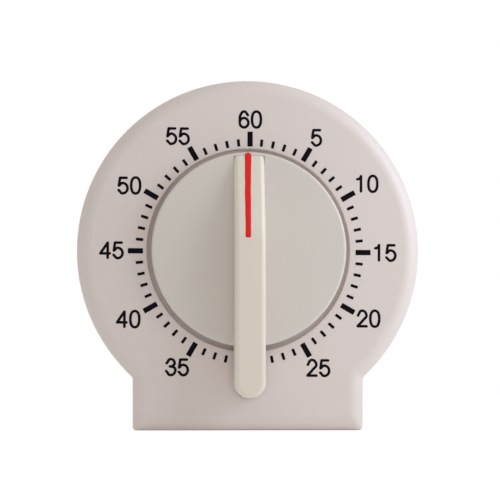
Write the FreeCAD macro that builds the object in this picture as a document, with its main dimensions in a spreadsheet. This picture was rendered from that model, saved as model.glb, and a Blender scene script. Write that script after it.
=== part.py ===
"""Spring-driven 60-minute kitchen timer: a moulded two-part case on a flat foot, a knob sunk in
its face, and a plate movement with a verge escapement and a bell.

Row frame: +X right, +Z up, the dial faces -Y, origin at the middle of the foot's bottom face.
Every sub-part is drawn in a bench frame and then stood up: x right, y up, z towards the reader,
with the dial axis as z and the row's Y = 0 plane as z = 0.
"""

import FreeCAD, Part
import math
import os
import re
import Sketcher

Vector = FreeCAD.Vector
Rotation = FreeCAD.Rotation
Placement = FreeCAD.Placement

# Driving dimensions: alias, millimetres or degrees, meaning
DIMENSIONS = (
    ("axis_height", 36.2, "dial axis above the table"),
    ("case_radius", 34.5, "round outline of the case"),
    ("foot_half_width", 23.2, "half the width of the foot"),
    ("neck_round", 1.0, "fillet where the foot meets the round"),
    ("foot_round", 0.8, "upright corners of the foot"),
    ("face_level", 15.0, "front face of the case"),
    ("split_level", -9.0, "joint between case and cover"),
    ("back_level", -15.0, "back face of the cover"),
    ("wall", 1.8, "moulded wall"),
    ("rim_round", 3.0, "rounded front rim"),
    ("back_round", 1.6, "rounded back rim"),
    ("recess_radius", 20.4, "round recess for the knob"),
    ("recess_level", 12.0, "floor of the recess"),
    ("ledge_radius", 17.6, "inside of the ledge round the recess"),
    ("ledge_level", 13.7, "top of the ledge, under the knob's skirt"),
    ("recess_under", 10.4, "underside of the recess floor"),
    ("recess_round", 0.25, "broken edge of the recess"),
    ("seam_round", 0.25, "broken edges along the joint of case and cover"),
    ("lip_gap", 0.1, "clearance round the cover's lip"),
    ("lip_wall", 1.1, "thickness of the cover's lip"),
    ("lip_height", 2.0, "reach of the cover's lip into the case"),
    ("thread_gap", 0.02, "radial room of a thread or a press fit"),
    ("running_gap", 0.05, "radial room of a running fit"),
    ("boss_radius", 2.6, "screw bosses inside the case"),
    ("boss_side", 21.9, "upper bosses, sideways from the axis"),
    ("boss_height", 17.1, "upper bosses, above the axis"),
    ("foot_boss_side", 17.2, "foot bosses, sideways from the axis"),
    ("foot_boss_depth", 30.0, "foot bosses, below the axis"),
    ("counterbore_level", -13.4, "seat of the cover screw heads"),
    ("counterbore_radius", 2.3, "well of a cover screw head"),
    ("cover_head_radius", 2.0, "cover screw head"),
    ("cover_head_height", 1.3, "cover screw head"),
    ("cover_shank_radius", 1.2, "cover screw shank"),
    ("cover_shank_hole", 1.5, "clearance hole of a cover screw"),
    ("cover_tip_level", -3.0, "tip of a cover screw"),
    ("cover_hole_level", -2.0, "end of a cover screw's pilot hole"),
    ("cross_width", 0.55, "cross recess of a cover screw"),
    ("cross_depth", 0.7, "cross recess of a cover screw"),
    ("cross_reach", 1.3, "cross recess of a cover screw, from its middle"),
    ("driver_slot", 0.5, "width and depth of a driver slot"),
    ("run_out", 0.5, "threaded hole beyond its screw's tip"),
    ("overcut", 1.0, "how far a cutting outline runs past the solid"),
    ("slot_length", 22.0, "middle sound slot"),
    ("slot_width", 1.6, "sound slots"),
    ("slot_pitch", 4.0, "sound slots"),
    ("knob_radius", 19.5, "knob disc"),
    ("knob_front", 18.0, "front of the knob disc"),
    ("knob_under", 16.2, "underside of the knob disc"),
    ("slot_level", 17.1, "floor of the slot that seats the grip bar"),
    ("knob_hub_level", 12.6, "rear end of the knob's hub"),
    ("knob_skirt_level", 14.0, "open edge of the knob's skirt"),
    ("knob_round", 0.5, "front edge of the knob disc"),
    ("hub_radius", 4.0, "hub of the knob"),
    ("flat_reach", 1.5, "flat of the D-shaped arbor, from its axis"),
    ("grip_half_width", 3.05, "half the width of the grip bar"),
    ("grip_front", 24.5, "front of the grip bar"),
    ("grip_tail_reach", 29.7, "tip of the grip bar's tail, from the axis"),
    ("grip_tail_under", 15.8, "underside of the tail, over the case"),
    ("grip_tail_start", 20.4, "where the underside steps down past the knob"),
    ("grip_ramp_start", 2.6, "upper end of the grip bar's full height"),
    ("grip_ramp_front", 18.3, "front of the grip bar at its pointer end"),
    ("grip_tip_reach", 18.7, "pointer end of the grip bar"),
    ("grip_round", 1.0, "long front edges of the grip bar"),
    ("grip_crease_round", 6.0, "soft turn from the ramp to the bar's level top"),
    ("grip_tip_round", 0.2, "edge of the ramp's low end"),
    ("groove_half_width", 0.5, "half the width of the pointer groove"),
    ("groove_shift", -0.38, "pointer groove, sideways from the bar's middle"),
    ("groove_depth", 0.15, "pointer groove"),
    ("plate_radius", 24.6, "movement plates"),
    ("plate_thickness", 0.8, "movement plates"),
    ("front_plate_level", 7.7, "inner face of the front plate"),
    ("back_plate_level", -4.3, "inner face of the back plate"),
    ("pillar_reach", 22.8, "pillars, from the axis"),
    ("pillar_radius", 1.5, "pillars"),
    ("pillar_screw_radius", 0.7, "pillar screw shank"),
    ("pillar_screw_depth", 3.0, "pillar screw shank inside a pillar"),
    ("pillar_head_radius", 1.7, "pillar screw head"),
    ("pillar_head_height", 1.0, "pillar screw head"),
    ("mount_reach", 13.0, "movement screws, from the axis"),
    ("mount_screw_radius", 0.9, "movement screw shank"),
    ("mount_tip_level", 7.3, "tip of a movement screw"),
    ("mount_head_radius", 1.9, "movement screw head"),
    ("mount_head_height", 1.0, "movement screw head"),
    ("mount_boss_radius", 2.4, "spacers between recess floor and plate"),
    ("bush_radius", 3.2, "main bush"),
    ("bush_flange_radius", 4.4, "flange of the main bush"),
    ("bush_flange", 0.5, "flange of the main bush"),
    ("bush_front", 12.2, "front end of the main bush"),
    ("bush_hole", 3.5, "hole in the case for the main bush"),
    ("main_radius", 2.0, "main arbor"),
    ("main_front", 16.3, "front end of the main arbor"),
    ("main_pivot_radius", 1.2, "rear pivot of the main arbor"),
    ("arbor_radius", 0.8, "train arbors"),
    ("pivot_radius", 0.5, "pivots of the train"),
    ("shake", 0.2, "end play of an arbor at each plate"),
    ("pivot_proud", 0.2, "pivot end beyond a plate"),
    ("train_angle", 60.0, "direction of the second arbor"),
    ("second_reach", 14.4, "second arbor, from the axis"),
    ("third_reach", 15.5, "third arbor, from the axis"),
    ("third_angle", 43.0, "third arbor, from the train angle"),
    ("escape_reach", 17.0, "escape arbor, from the axis"),
    ("escape_angle", 76.4, "escape arbor, from the train angle"),
    ("verge_reach", 17.0, "verge arbor, from the axis"),
    ("verge_angle", 103.6, "verge arbor, from the train angle"),
    ("hammer_reach", 17.0, "hammer arbor, from the axis"),
    ("hammer_angle", -42.4, "hammer arbor, from the train angle"),
    ("stud_reach", 11.0, "lever stud, from the axis"),
    ("stud_angle", 240.0, "lever stud, from the train angle"),
    ("great_module", 0.4, "great wheel and second pinion"),
    ("second_module", 0.35, "second wheel and third pinion"),
    ("third_module", 0.3, "third wheel and escape pinion"),
    ("second_pinion_rear", 0.4, "second pinion"),
    ("second_pinion_front", 2.6, "second pinion"),
    ("third_pinion_rear", -1.0, "third pinion"),
    ("third_pinion_front", 0.4, "third pinion"),
    ("escape_pinion_rear", -2.5, "escape pinion"),
    ("escape_pinion_front", -1.2, "escape pinion"),
    ("second_window", 2.2, "round windows of the second wheel"),
    ("second_window_ring", 5.6, "windows of the second wheel, from its axis"),
    ("third_window", 1.8, "round windows of the third wheel"),
    ("third_window_ring", 4.8, "windows of the third wheel, from its axis"),
    ("escape_window", 0.8, "round windows of the escape wheel"),
    ("escape_window_ring", 2.6, "windows of the escape wheel, from its axis"),
    ("great_level", 1.1, "rear face of the great wheel"),
    ("great_thickness", 0.8, "great wheel"),
    ("second_level", -0.6, "rear face of the second wheel"),
    ("third_level", -2.1, "rear face of the third wheel"),
    ("wheel_thickness", 0.6, "second wheel"),
    ("thin_wheel", 0.5, "third wheel and escape wheel"),
    ("escape_level", -3.4, "rear face of the escape wheel"),
    ("escape_radius", 6.0, "escape wheel"),
    ("escape_root", 4.4, "root of the escape teeth"),
    ("escape_lean", 5.0, "turn from an escape tooth's tip to its root"),
    ("ratchet_level", 2.1, "rear face of the ratchet wheel"),
    ("ratchet_thickness", 0.7, "ratchet wheel"),
    ("ratchet_radius", 5.2, "ratchet wheel"),
    ("ratchet_root", 4.4, "root of the ratchet teeth"),
    ("ratchet_lean", 4.0, "turn from a ratchet tooth's tip to its root"),
    ("cam_level", 0.3, "rear face of the alarm cam and the trip lever"),
    ("cam_thickness", 0.6, "alarm cam and trip lever"),
    ("cam_radius", 6.0, "alarm cam"),
    ("cam_notch_depth", 1.6, "notch of the alarm cam"),
    ("cam_notch_half_angle", 14.0, "half the notch of the alarm cam"),
    ("cam_notch_lag", 6.0, "notch of the alarm cam, behind the lever's nose"),
    ("nose_gap", 0.5, "lever's nose over the cam"),
    ("nose_swing", 35.0, "lever's nose, from the stud's direction"),
    ("nose_width", 0.9, "lever's nose"),
    ("tail_width", 1.4, "lever's tail"),
    ("lever_eye", 2.0, "eye of the trip lever"),
    ("stud_collar", 1.6, "collar under the trip lever"),
    ("tail_short", 2.4, "end of the lever's tail, before the hammer arbor"),
    ("trip_gap", 1.7, "trip spring, from the middle of the lever's tail"),
    ("trip_touch", 9.0, "trip spring's tip, along the lever's tail"),
    ("trip_post_reach", 16.0, "trip spring post, from the axis"),
    ("trip_post_angle", 25.0, "trip spring post, from the stud's direction"),
    ("trip_spring_eye", 1.2, "eye of the trip spring"),
    ("trip_spring_depth", 0.4, "trip spring, along its post"),
    ("leaf_width", 0.3, "strip of the trip spring and of the click spring"),
    ("click_reach", 8.6, "click stud and click spring stud, from the axis"),
    ("click_angle", 200.0, "click stud"),
    ("anchor_angle", 245.0, "click spring stud"),
    ("click_stud_radius", 0.5, "click stud and click spring stud"),
    ("stud_proud", 0.1, "riveted end of a stud"),
    ("open_gap", 0.1, "room between pieces that would touch at work"),
    ("click_lead", 32.0, "tip of the click, from its stud's direction"),
    ("click_eye", 1.1, "eye of the click"),
    ("click_width", 0.7, "nose of the click"),
    ("click_thickness", 0.6, "click"),
    ("click_spring_eye", 0.8, "eye of the click spring"),
    ("click_spring_depth", 0.5, "click spring, along its stud"),
    ("pallet_circle", 7.2, "pallet tips, from the escape arbor"),
    ("pallet_spread", 40.0, "pallet tips, from the line to the verge arbor"),
    ("pallet_width", 0.6, "pallet arms at their tips"),
    ("pallet_eye", 1.5, "eye of the pallet"),
    ("spring_level", 3.0, "rear edge of the mainspring"),
    ("spring_height", 4.0, "width of the mainspring's strip"),
    ("spring_strip", 0.25, "thickness of the mainspring's strip"),
    ("spring_inner", 2.5, "inner coil of the mainspring"),
    ("spring_outer", 10.2, "outer coil of the mainspring"),
    ("post_reach", 11.2, "spring post, from the axis"),
    ("disc_level", 3.6, "rear face of the inertia disc"),
    ("disc_thickness", 1.2, "inertia disc"),
    ("disc_radius", 6.3, "inertia disc"),
    ("strike_level", -3.6, "rear face of the strike wheel"),
    ("strike_radius", 3.6, "strike wheel"),
    ("strike_root", 2.7, "root of the strike teeth"),
    ("strike_lean", 15.0, "turn from a strike tooth's tip to its root"),
    ("bell_reach", 5.0, "bell axis, from the dial axis"),
    ("bell_angle", -100.8, "bell axis, from the train angle"),
    ("bell_radius", 21.0, "bell"),
    ("bell_wall", 0.8, "bell"),
    ("bell_rim_level", -6.9, "rim of the bell"),
    ("bell_crown_level", -11.0, "inside of the bell's crown"),
    ("bell_round", 1.8, "outer curve between crown and skirt"),
    ("bell_post_radius", 1.8, "bell post"),
    ("bell_post_foot", 2.6, "foot of the bell post"),
    ("bell_foot_thickness", 0.8, "foot of the bell post"),
    ("bell_screw_depth", 3.5, "bell screw shank inside its post"),
    ("bell_screw_radius", 1.0, "bell screw shank"),
    ("bell_head_radius", 2.2, "bell screw head"),
    ("bell_head_height", 0.9, "bell screw head"),
    ("head_reach", 18.1, "hammer head, from the bell axis"),
    ("hammer_arm_length", 8.0, "hammer arbor to hammer head"),
    ("hammer_arm_width", 2.0, "hammer arm at its head"),
    ("hammer_arm_eye", 1.3, "eye of the hammer arm"),
    ("hammer_pallet_width", 0.8, "tip of the hammer's pallet"),
    ("hammer_pallet_eye", 1.6, "eye of the hammer's pallet"),
    ("head_radius", 1.6, "hammer head"),
    ("hammer_arm_level", -8.6, "rear face of the hammer arm"),
    ("hammer_end_level", -9.0, "rear end of the hammer arbor"),
    ("head_rear_level", -9.9, "rear end of the hammer head"),
)

PILLAR_ANGLES = (-32.0, 122.0, 225.0)
MOUNT_ANGLES = (0.0, 120.0, 240.0)
SLOT_ROWS = (-2, -1, 0, 1, 2)
SPRING_TURNS, SPRING_POINTS = 7, 12
RATCHET_TEETH, RATCHET_PHASE = 18, 5.0
GREAT_TEETH, SECOND_TEETH, THIRD_TEETH = 64, 56, 56
SECOND_LEAVES, THIRD_LEAVES, ESCAPE_LEAVES = 8, 7, 7
ESCAPE_TEETH, STRIKE_TEETH = 15, 12
WINDOWS = 5
WHEEL_TOOTH = {"shift": -0.4, "addendum": 0.6, "dedendum": 1.3}
PINION_TOOTH = {"shift": 0.4, "addendum": 1.1, "dedendum": 0.9}
PRESSURE_ANGLE = math.radians(25.0)
BACKLASH = 0.05
# Half-width of a lever's arm where it leaves the eye, and of the D-bore's key
ARM_ROOT_SHARE, KEY_SHARE = 0.7, 0.8
TOLERANCE = 1e-4

doc = FreeCAD.newDocument("KitchenTimer")
sizes = doc.addObject("Spreadsheet::Sheet", "sizes")
for line, (alias, value, meaning) in enumerate(DIMENSIONS, start=1):
    sizes.set(f"A{line}", meaning)
    sizes.set(f"B{line}", str(value))
    sizes.setAlias(f"B{line}", alias)
doc.recompute()

sub_parts = []


def of(alias):
    """The plain number in the sheet's cell."""
    return float(sizes.get(alias))


def cell(text):
    """An expression in which every alias is read from the sheet."""
    names = {alias for alias, _, _ in DIMENSIONS}
    return re.sub(
        r"[a-z_]+", lambda word: f"sizes.{word[0]}" if word[0] in names else word[0], text
    )


def bind(thing, **settings):
    for setting, text in settings.items():
        thing.setExpression(setting, cell(text))
    return thing


def polar(reach, angle):
    """Bench x and y expressions of a point at a reach and an angle in degrees."""
    return f"({reach}) * cos(({angle}) * 1deg)", f"({reach}) * sin(({angle}) * 1deg)"


def polar_point(reach, angle):
    turn = math.radians(angle)
    return Vector(reach * math.cos(turn), reach * math.sin(turn), 0)


def standing(place=None):
    """The bench frame stood up in the row frame, with a bench placement inside it."""
    upright = Placement(Vector(0, 0, of("axis_height")), Rotation(Vector(1, 0, 0), 90))
    return upright.multiply(place) if place else upright


def sub_part(thing, label, place=None):
    thing.Label = label
    thing.Placement = standing(place)
    sub_parts.append(thing)
    return thing


# Places of the arbors on the plates

CENTRE = ("0", "0")
SECOND = polar("second_reach", "train_angle")
THIRD = polar("third_reach", "train_angle + third_angle")
ESCAPE = polar("escape_reach", "train_angle + escape_angle")
VERGE = polar("verge_reach", "train_angle + verge_angle")
HAMMER = polar("hammer_reach", "train_angle + hammer_angle")
STUD = polar("stud_reach", "train_angle + stud_angle")
BELL = polar("bell_reach", "train_angle + bell_angle")
PILLARS = [polar("pillar_reach", f"train_angle + {turn}") for turn in PILLAR_ANGLES]
MOUNTS = [polar("mount_reach", str(turn)) for turn in MOUNT_ANGLES]
COVER_SPOTS = (
    ("boss_side", "boss_height"),
    ("-1 * boss_side", "boss_height"),
    ("foot_boss_side", "-1 * foot_boss_depth"),
    ("-1 * foot_boss_side", "-1 * foot_boss_depth"),
)

second_at = polar_point(of("second_reach"), of("train_angle"))
third_at = polar_point(of("third_reach"), of("train_angle") + of("third_angle"))
escape_at = polar_point(of("escape_reach"), of("train_angle") + of("escape_angle"))
verge_at = polar_point(of("verge_reach"), of("train_angle") + of("verge_angle"))
hammer_at = polar_point(of("hammer_reach"), of("train_angle") + of("hammer_angle"))
stud_at = polar_point(of("stud_reach"), of("train_angle") + of("stud_angle"))
bell_at = polar_point(of("bell_reach"), of("train_angle") + of("bell_angle"))


def heading(start, end):
    """Direction from one bench point to another, in degrees."""
    return math.degrees(math.atan2(end.y - start.y, end.x - start.x))


# Turned and sheet pieces: Part primitives and booleans


def cylinder(radius, rear, front, spot=CENTRE):
    rod = doc.addObject("Part::Cylinder", "Rod")
    bind(rod, Radius=radius, Height=f"{front} - ({rear})")
    for axis, text in zip("xyz", (*spot, rear)):
        rod.setExpression(f".Placement.Base.{axis}", cell(text))
    return rod


def box(width, depth, height, corner):
    block = doc.addObject("Part::Box", "Block")
    bind(block, Length=width, Width=depth, Height=height)
    for axis, text in zip("xyz", corner):
        block.setExpression(f".Placement.Base.{axis}", cell(text))
    return block


def fuse(pieces):
    whole = doc.addObject("Part::MultiFuse", "Whole")
    whole.Shapes = pieces
    return whole


def group(pieces):
    several = doc.addObject("Part::Compound", "Group")
    several.Links = pieces
    return several


def cut(base, tools):
    rest = doc.addObject("Part::Cut", "Rest")
    rest.Base = base
    rest.Tool = tools[0] if len(tools) == 1 else fuse(tools)
    return rest


def drawn(shape):
    """A piece whose shape is worked out by formula from sizes read from the sheet."""
    feature = doc.addObject("Part::Feature", "Drawn")
    feature.Shape = shape
    return feature


def outline_prism(points, thickness):
    wire = Part.makePolygon([*points, points[0]])
    return Part.Face(wire).extrude(Vector(0, 0, thickness))


def arbor(spot, extra=()):
    """An arbor between the plates: a plain rod with a thin pivot at each end."""
    rear, front = "back_plate_level + shake", "front_plate_level - shake"
    rod = cylinder("arbor_radius", rear, front, spot)
    rear_end = "back_plate_level - plate_thickness - pivot_proud"
    front_end = "front_plate_level + plate_thickness + pivot_proud"
    rear_pivot = cylinder("pivot_radius", rear_end, rear, spot)
    front_pivot = cylinder("pivot_radius", front, front_end, spot)
    return fuse([rod, rear_pivot, front_pivot, *extra])


# Moulded pieces: PartDesign bodies


def new_body(label):
    body = doc.addObject("PartDesign::Body", label)
    return sub_part(body, label)


def new_sketch(body, name, role, offset="0"):
    """A sketch on one of the body's own origin planes, lifted along its normal."""
    plane = next(item for item in body.Origin.OriginFeatures if item.Role == role)
    sketch = body.newObject("Sketcher::SketchObject", name)
    sketch.AttachmentSupport = [(plane, "")]
    sketch.MapMode = "FlatFace"
    sketch.setExpression(".AttachmentOffset.Base.z", cell(offset))
    return sketch


def constrain(sketch, kind, places, text):
    """A dimension of a sketch, bound to the sheet."""
    number = sketch.addConstraint(Sketcher.Constraint(kind, *places, evaluate(text)))
    sketch.setExpression(f"Constraints[{number}]", cell(text))


def evaluate(text):
    """The value that an expression over the sheet has now."""
    value = sizes.evalExpression(cell(text))
    return float(getattr(value, "Value", value))


def sketch_circle(sketch, radius, spot=CENTRE):
    x, y = (evaluate(text) for text in spot)
    number = sketch.addGeometry(
        Part.Circle(Vector(x, y, 0), Vector(0, 0, 1), evaluate(radius))
    )
    constrain(sketch, "Radius", (number,), radius)
    constrain(sketch, "DistanceX", (-1, 1, number, 3), spot[0])
    constrain(sketch, "DistanceY", (-1, 1, number, 3), spot[1])
    return number


def sketch_outline(sketch, inset):
    """The case outline, drawn a distance inside its outer wall: a round on a square foot."""
    radius, half = f"case_radius - ({inset})", f"foot_half_width - ({inset})"
    depth = f"axis_height - ({inset})"
    reach, side, bottom = evaluate(radius), evaluate(half), -evaluate(depth)
    neck = -math.sqrt(reach**2 - side**2)
    low_left, low_right = Vector(-side, bottom, 0), Vector(side, bottom, 0)
    neck_left, neck_right = Vector(-side, neck, 0), Vector(side, neck, 0)
    start = math.atan2(neck, side)
    circle = Part.Circle(Vector(0, 0, 0), Vector(0, 0, 1), reach)
    base = sketch.addGeometry(Part.LineSegment(low_left, low_right))
    right = sketch.addGeometry(Part.LineSegment(low_right, neck_right))
    crown = sketch.addGeometry(Part.ArcOfCircle(circle, start, math.pi - start))
    left = sketch.addGeometry(Part.LineSegment(neck_left, low_left))
    for first, first_end, second, second_end in (
        (base, 2, right, 1),
        (right, 2, crown, 1),
        (crown, 2, left, 1),
        (left, 2, base, 1),
    ):
        joined = ("Coincident", first, first_end, second, second_end)
        sketch.addConstraint(Sketcher.Constraint(*joined))
    sketch.addConstraint(Sketcher.Constraint("Coincident", crown, 3, -1, 1))
    sketch.addConstraint(Sketcher.Constraint("Horizontal", base))
    sketch.addConstraint(Sketcher.Constraint("Vertical", right))
    sketch.addConstraint(Sketcher.Constraint("Vertical", left))
    constrain(sketch, "Radius", (crown,), radius)
    constrain(sketch, "DistanceX", (-1, 1, base, 2), half)
    constrain(sketch, "DistanceX", (base, 1, -1, 1), half)
    constrain(sketch, "DistanceY", (base, 2, -1, 1), depth)


def sketch_polygon(sketch, corners):
    """A closed outline of straight lines whose corners are bound to the sheet."""
    points = [Vector(evaluate(x), evaluate(y), 0) for x, y in corners]
    lines = []
    for start, end in zip(points, points[1:] + points[:1]):
        lines.append(sketch.addGeometry(Part.LineSegment(start, end)))
    for this, following in zip(lines, lines[1:] + lines[:1]):
        sketch.addConstraint(Sketcher.Constraint("Coincident", this, 2, following, 1))
    for number, (x, y) in zip(lines, corners):
        constrain(sketch, "DistanceX", (-1, 1, number, 1), x)
        constrain(sketch, "DistanceY", (-1, 1, number, 1), y)


def feature(body, kind, name, sketch, **settings):
    """A sketch-based feature, whose named settings are bound to the sheet."""
    made = body.newObject(f"PartDesign::{kind}", name)
    made.Profile = sketch
    bind(made, **settings)
    doc.recompute()
    return made


def round_edges(body, name, radius, wanted):
    """A fillet on the edges of the body's tip that the test picks."""
    base = body.Tip
    names = [
        f"Edge{number}"
        for number, edge in enumerate(base.Shape.Edges, start=1)
        if wanted(edge)
    ]
    rounded = body.newObject("PartDesign::Fillet", name)
    rounded.Base = (base, names)
    bind(rounded, Radius=radius)
    doc.recompute()
    return rounded


def lies_at(edge, level):
    span = edge.BoundBox
    return abs(span.ZMin - level) < TOLERANCE and abs(span.ZMax - level) < TOLERANCE


def is_neck(edge):
    return is_upright(edge) and not meets_base(edge)


def is_foot_corner(edge):
    return is_upright(edge) and meets_base(edge)


def is_upright(edge):
    span = edge.BoundBox
    return span.ZLength > TOLERANCE and span.XLength < TOLERANCE and span.YLength < TOLERANCE


def meets_base(edge):
    return edge.BoundBox.YMin < TOLERANCE - of("axis_height")


def circle_level(edge, radius, level):
    if edge.Degenerated or not lies_at(edge, level):
        return False
    return isinstance(edge.Curve, Part.Circle) and abs(edge.Curve.Radius - radius) < TOLERANCE


def build_front_case():
    """Deep front shell: rounded rim, knob recess with its cup, screw bosses."""
    body = new_body("front_case")
    shell = new_sketch(body, "case_outline", "XY_Plane", "split_level")
    sketch_outline(shell, "0")
    feature(body, "Pad", "case_block", shell, Length="face_level - split_level")
    round_edges(body, "case_necks", "neck_round", is_neck)
    round_edges(body, "case_corners", "foot_round", is_foot_corner)
    face = of("face_level")
    round_edges(body, "case_rim", "rim_round", lambda edge: lies_at(edge, face))
    split = of("split_level")
    round_edges(body, "case_seam", "seam_round", lambda edge: lies_at(edge, split))
    hollow = new_sketch(body, "case_hollow_outline", "XY_Plane", "face_level - wall")
    sketch_outline(hollow, "wall")
    feature(body, "Pocket", "case_hollow", hollow, Length="face_level - wall - split_level")
    cup = new_sketch(body, "cup_outline", "XY_Plane", "recess_under")
    sketch_circle(cup, "recess_radius + wall")
    feature(body, "Pad", "recess_cup", cup, Length="face_level - wall / 2 - recess_under")
    bosses = new_sketch(body, "boss_outlines", "XY_Plane", "split_level")
    for spot in COVER_SPOTS:
        sketch_circle(bosses, "boss_radius", spot)
    feature(body, "Pad", "case_bosses", bosses, Length="face_level - wall / 2 - split_level")
    spacers = new_sketch(
        body, "spacer_outlines", "XY_Plane", "front_plate_level + plate_thickness"
    )
    for spot in MOUNTS:
        sketch_circle(spacers, "mount_boss_radius", spot)
    spacer_height = "recess_level - recess_round - front_plate_level - plate_thickness"
    feature(body, "Pad", "plate_spacers", spacers, Length=spacer_height)
    recess = new_sketch(body, "recess_outline", "XY_Plane", "face_level")
    sketch_circle(recess, "recess_radius")
    feature(body, "Pocket", "knob_recess", recess, Length="face_level - ledge_level")
    round_edges(
        body,
        "recess_edge",
        "recess_round",
        lambda edge: circle_level(edge, of("recess_radius"), face),
    )
    well = new_sketch(body, "recess_well_outline", "XY_Plane", "ledge_level")
    sketch_circle(well, "ledge_radius")
    feature(body, "Pocket", "recess_well", well, Length="ledge_level - recess_level")
    holes = new_sketch(body, "recess_holes_outline", "XY_Plane", "recess_level")
    sketch_circle(holes, "bush_hole")
    for spot in MOUNTS:
        sketch_circle(holes, "mount_screw_radius + running_gap", spot)
    through = "recess_level - front_plate_level"
    feature(body, "Pocket", "recess_holes", holes, Length=through)
    pilots = new_sketch(body, "pilot_outlines", "XY_Plane", "cover_hole_level")
    for spot in COVER_SPOTS:
        sketch_circle(pilots, "cover_shank_radius + thread_gap", spot)
    feature(body, "Pocket", "pilot_holes", pilots, Length="cover_hole_level - split_level")


def build_back_cover():
    """Shallow rear shell: locating lip, screw posts with wells, sound slots."""
    body = new_body("back_cover")
    shell = new_sketch(body, "cover_outline", "XY_Plane", "back_level")
    sketch_outline(shell, "0")
    feature(body, "Pad", "cover_block", shell, Length="split_level - back_level")
    round_edges(body, "cover_necks", "neck_round", is_neck)
    round_edges(body, "cover_corners", "foot_round", is_foot_corner)
    back = of("back_level")
    round_edges(body, "cover_rim", "back_round", lambda edge: lies_at(edge, back))
    split = of("split_level")
    round_edges(body, "cover_seam", "seam_round", lambda edge: lies_at(edge, split))
    hollow = new_sketch(body, "cover_hollow_outline", "XY_Plane", "split_level")
    sketch_outline(hollow, "wall")
    feature(body, "Pocket", "cover_hollow", hollow, Length="split_level - back_level - wall")
    lip = new_sketch(body, "lip_outline", "XY_Plane", "split_level - wall")
    sketch_outline(lip, "wall + lip_gap")
    sketch_outline(lip, "wall + lip_gap + lip_wall")
    feature(body, "Pad", "cover_lip", lip, Length="wall + lip_height")
    web = new_sketch(body, "web_outline", "XY_Plane", "split_level - wall")
    sketch_outline(web, "wall / 2")
    sketch_outline(web, "wall + lip_gap + lip_wall / 2")
    feature(body, "Pad", "lip_web", web, Length="wall / 2")
    posts = new_sketch(body, "post_outlines", "XY_Plane", "back_level + wall / 2")
    for spot in COVER_SPOTS:
        sketch_circle(posts, "boss_radius", spot)
    feature(body, "Pad", "cover_posts", posts, Length="split_level - back_level - wall / 2")
    wells = new_sketch(body, "well_outlines", "XY_Plane", "counterbore_level")
    for spot in COVER_SPOTS:
        sketch_circle(wells, "counterbore_radius", spot)
    feature(body, "Pocket", "screw_wells", wells, Length="counterbore_level - back_level")
    holes = new_sketch(body, "cover_holes_outline", "XY_Plane", "split_level")
    for spot in COVER_SPOTS:
        sketch_circle(holes, "cover_shank_hole", spot)
    feature(body, "Pocket", "cover_holes", holes, Length="split_level - back_level")
    slots = new_sketch(body, "slot_outlines", "XY_Plane", "back_level + wall")
    for row in SLOT_ROWS:
        half = f"(slot_length / 2 - {abs(row)} * slot_pitch / 2)"
        low, high = f"{row} * slot_pitch - slot_width / 2", f"{row} * slot_pitch + slot_width / 2"
        left = f"-1 * {half}"
        sketch_polygon(slots, ((left, low), (half, low), (half, high), (left, high)))
    feature(body, "Pocket", "sound_slots", slots, Length="wall")


def build_knob_disc():
    """Cup-shaped knob plate: a skirt inside the recess and a hub with a D-shaped bore."""
    body = new_body("knob_disc")
    profile = new_sketch(body, "disc_profile", "XZ_Plane")
    bore = "main_radius + thread_gap"
    sketch_polygon(
        profile,
        (
            (bore, "knob_hub_level"),
            ("hub_radius", "knob_hub_level"),
            ("hub_radius", "knob_under"),
            ("knob_radius - wall + recess_round", "knob_under"),
            ("knob_radius - wall + recess_round", "knob_skirt_level"),
            ("knob_radius", "knob_skirt_level"),
            ("knob_radius", "knob_front"),
            ("0", "knob_front"),
            ("0", "main_front + shake"),
            (bore, "main_front + shake"),
        ),
    )
    turned = body.newObject("PartDesign::Revolution", "disc_turned")
    turned.Profile = profile
    turned.ReferenceAxis = (profile, ["V_Axis"])
    turned.Angle = 360.0
    doc.recompute()
    front = of("knob_front")
    round_edges(
        body,
        "disc_edge",
        "knob_round",
        lambda edge: circle_level(edge, of("knob_radius"), front),
    )
    slot = new_sketch(body, "slot_outline", "XY_Plane", "knob_front")
    side, tip = "grip_half_width + thread_gap", "grip_tip_reach + thread_gap"
    tail = "-1 * knob_radius - overcut"
    sketch_polygon(
        slot, ((f"-1 * ({side})", tail), (side, tail), (side, tip), (f"-1 * ({side})", tip))
    )
    feature(body, "Pocket", "bar_slot", slot, Length="knob_front - slot_level")
    key = new_sketch(body, "key_outline", "XY_Plane", "knob_hub_level")
    low, high = "flat_reach + thread_gap", "main_radius + 2 * running_gap"
    side = f"main_radius * {KEY_SHARE}"
    sketch_polygon(
        key, ((f"-1 * {side}", low), (side, low), (side, high), (f"-1 * {side}", high))
    )
    feature(body, "Pad", "bore_flat", key, Length="main_front + shake - knob_hub_level")


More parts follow.
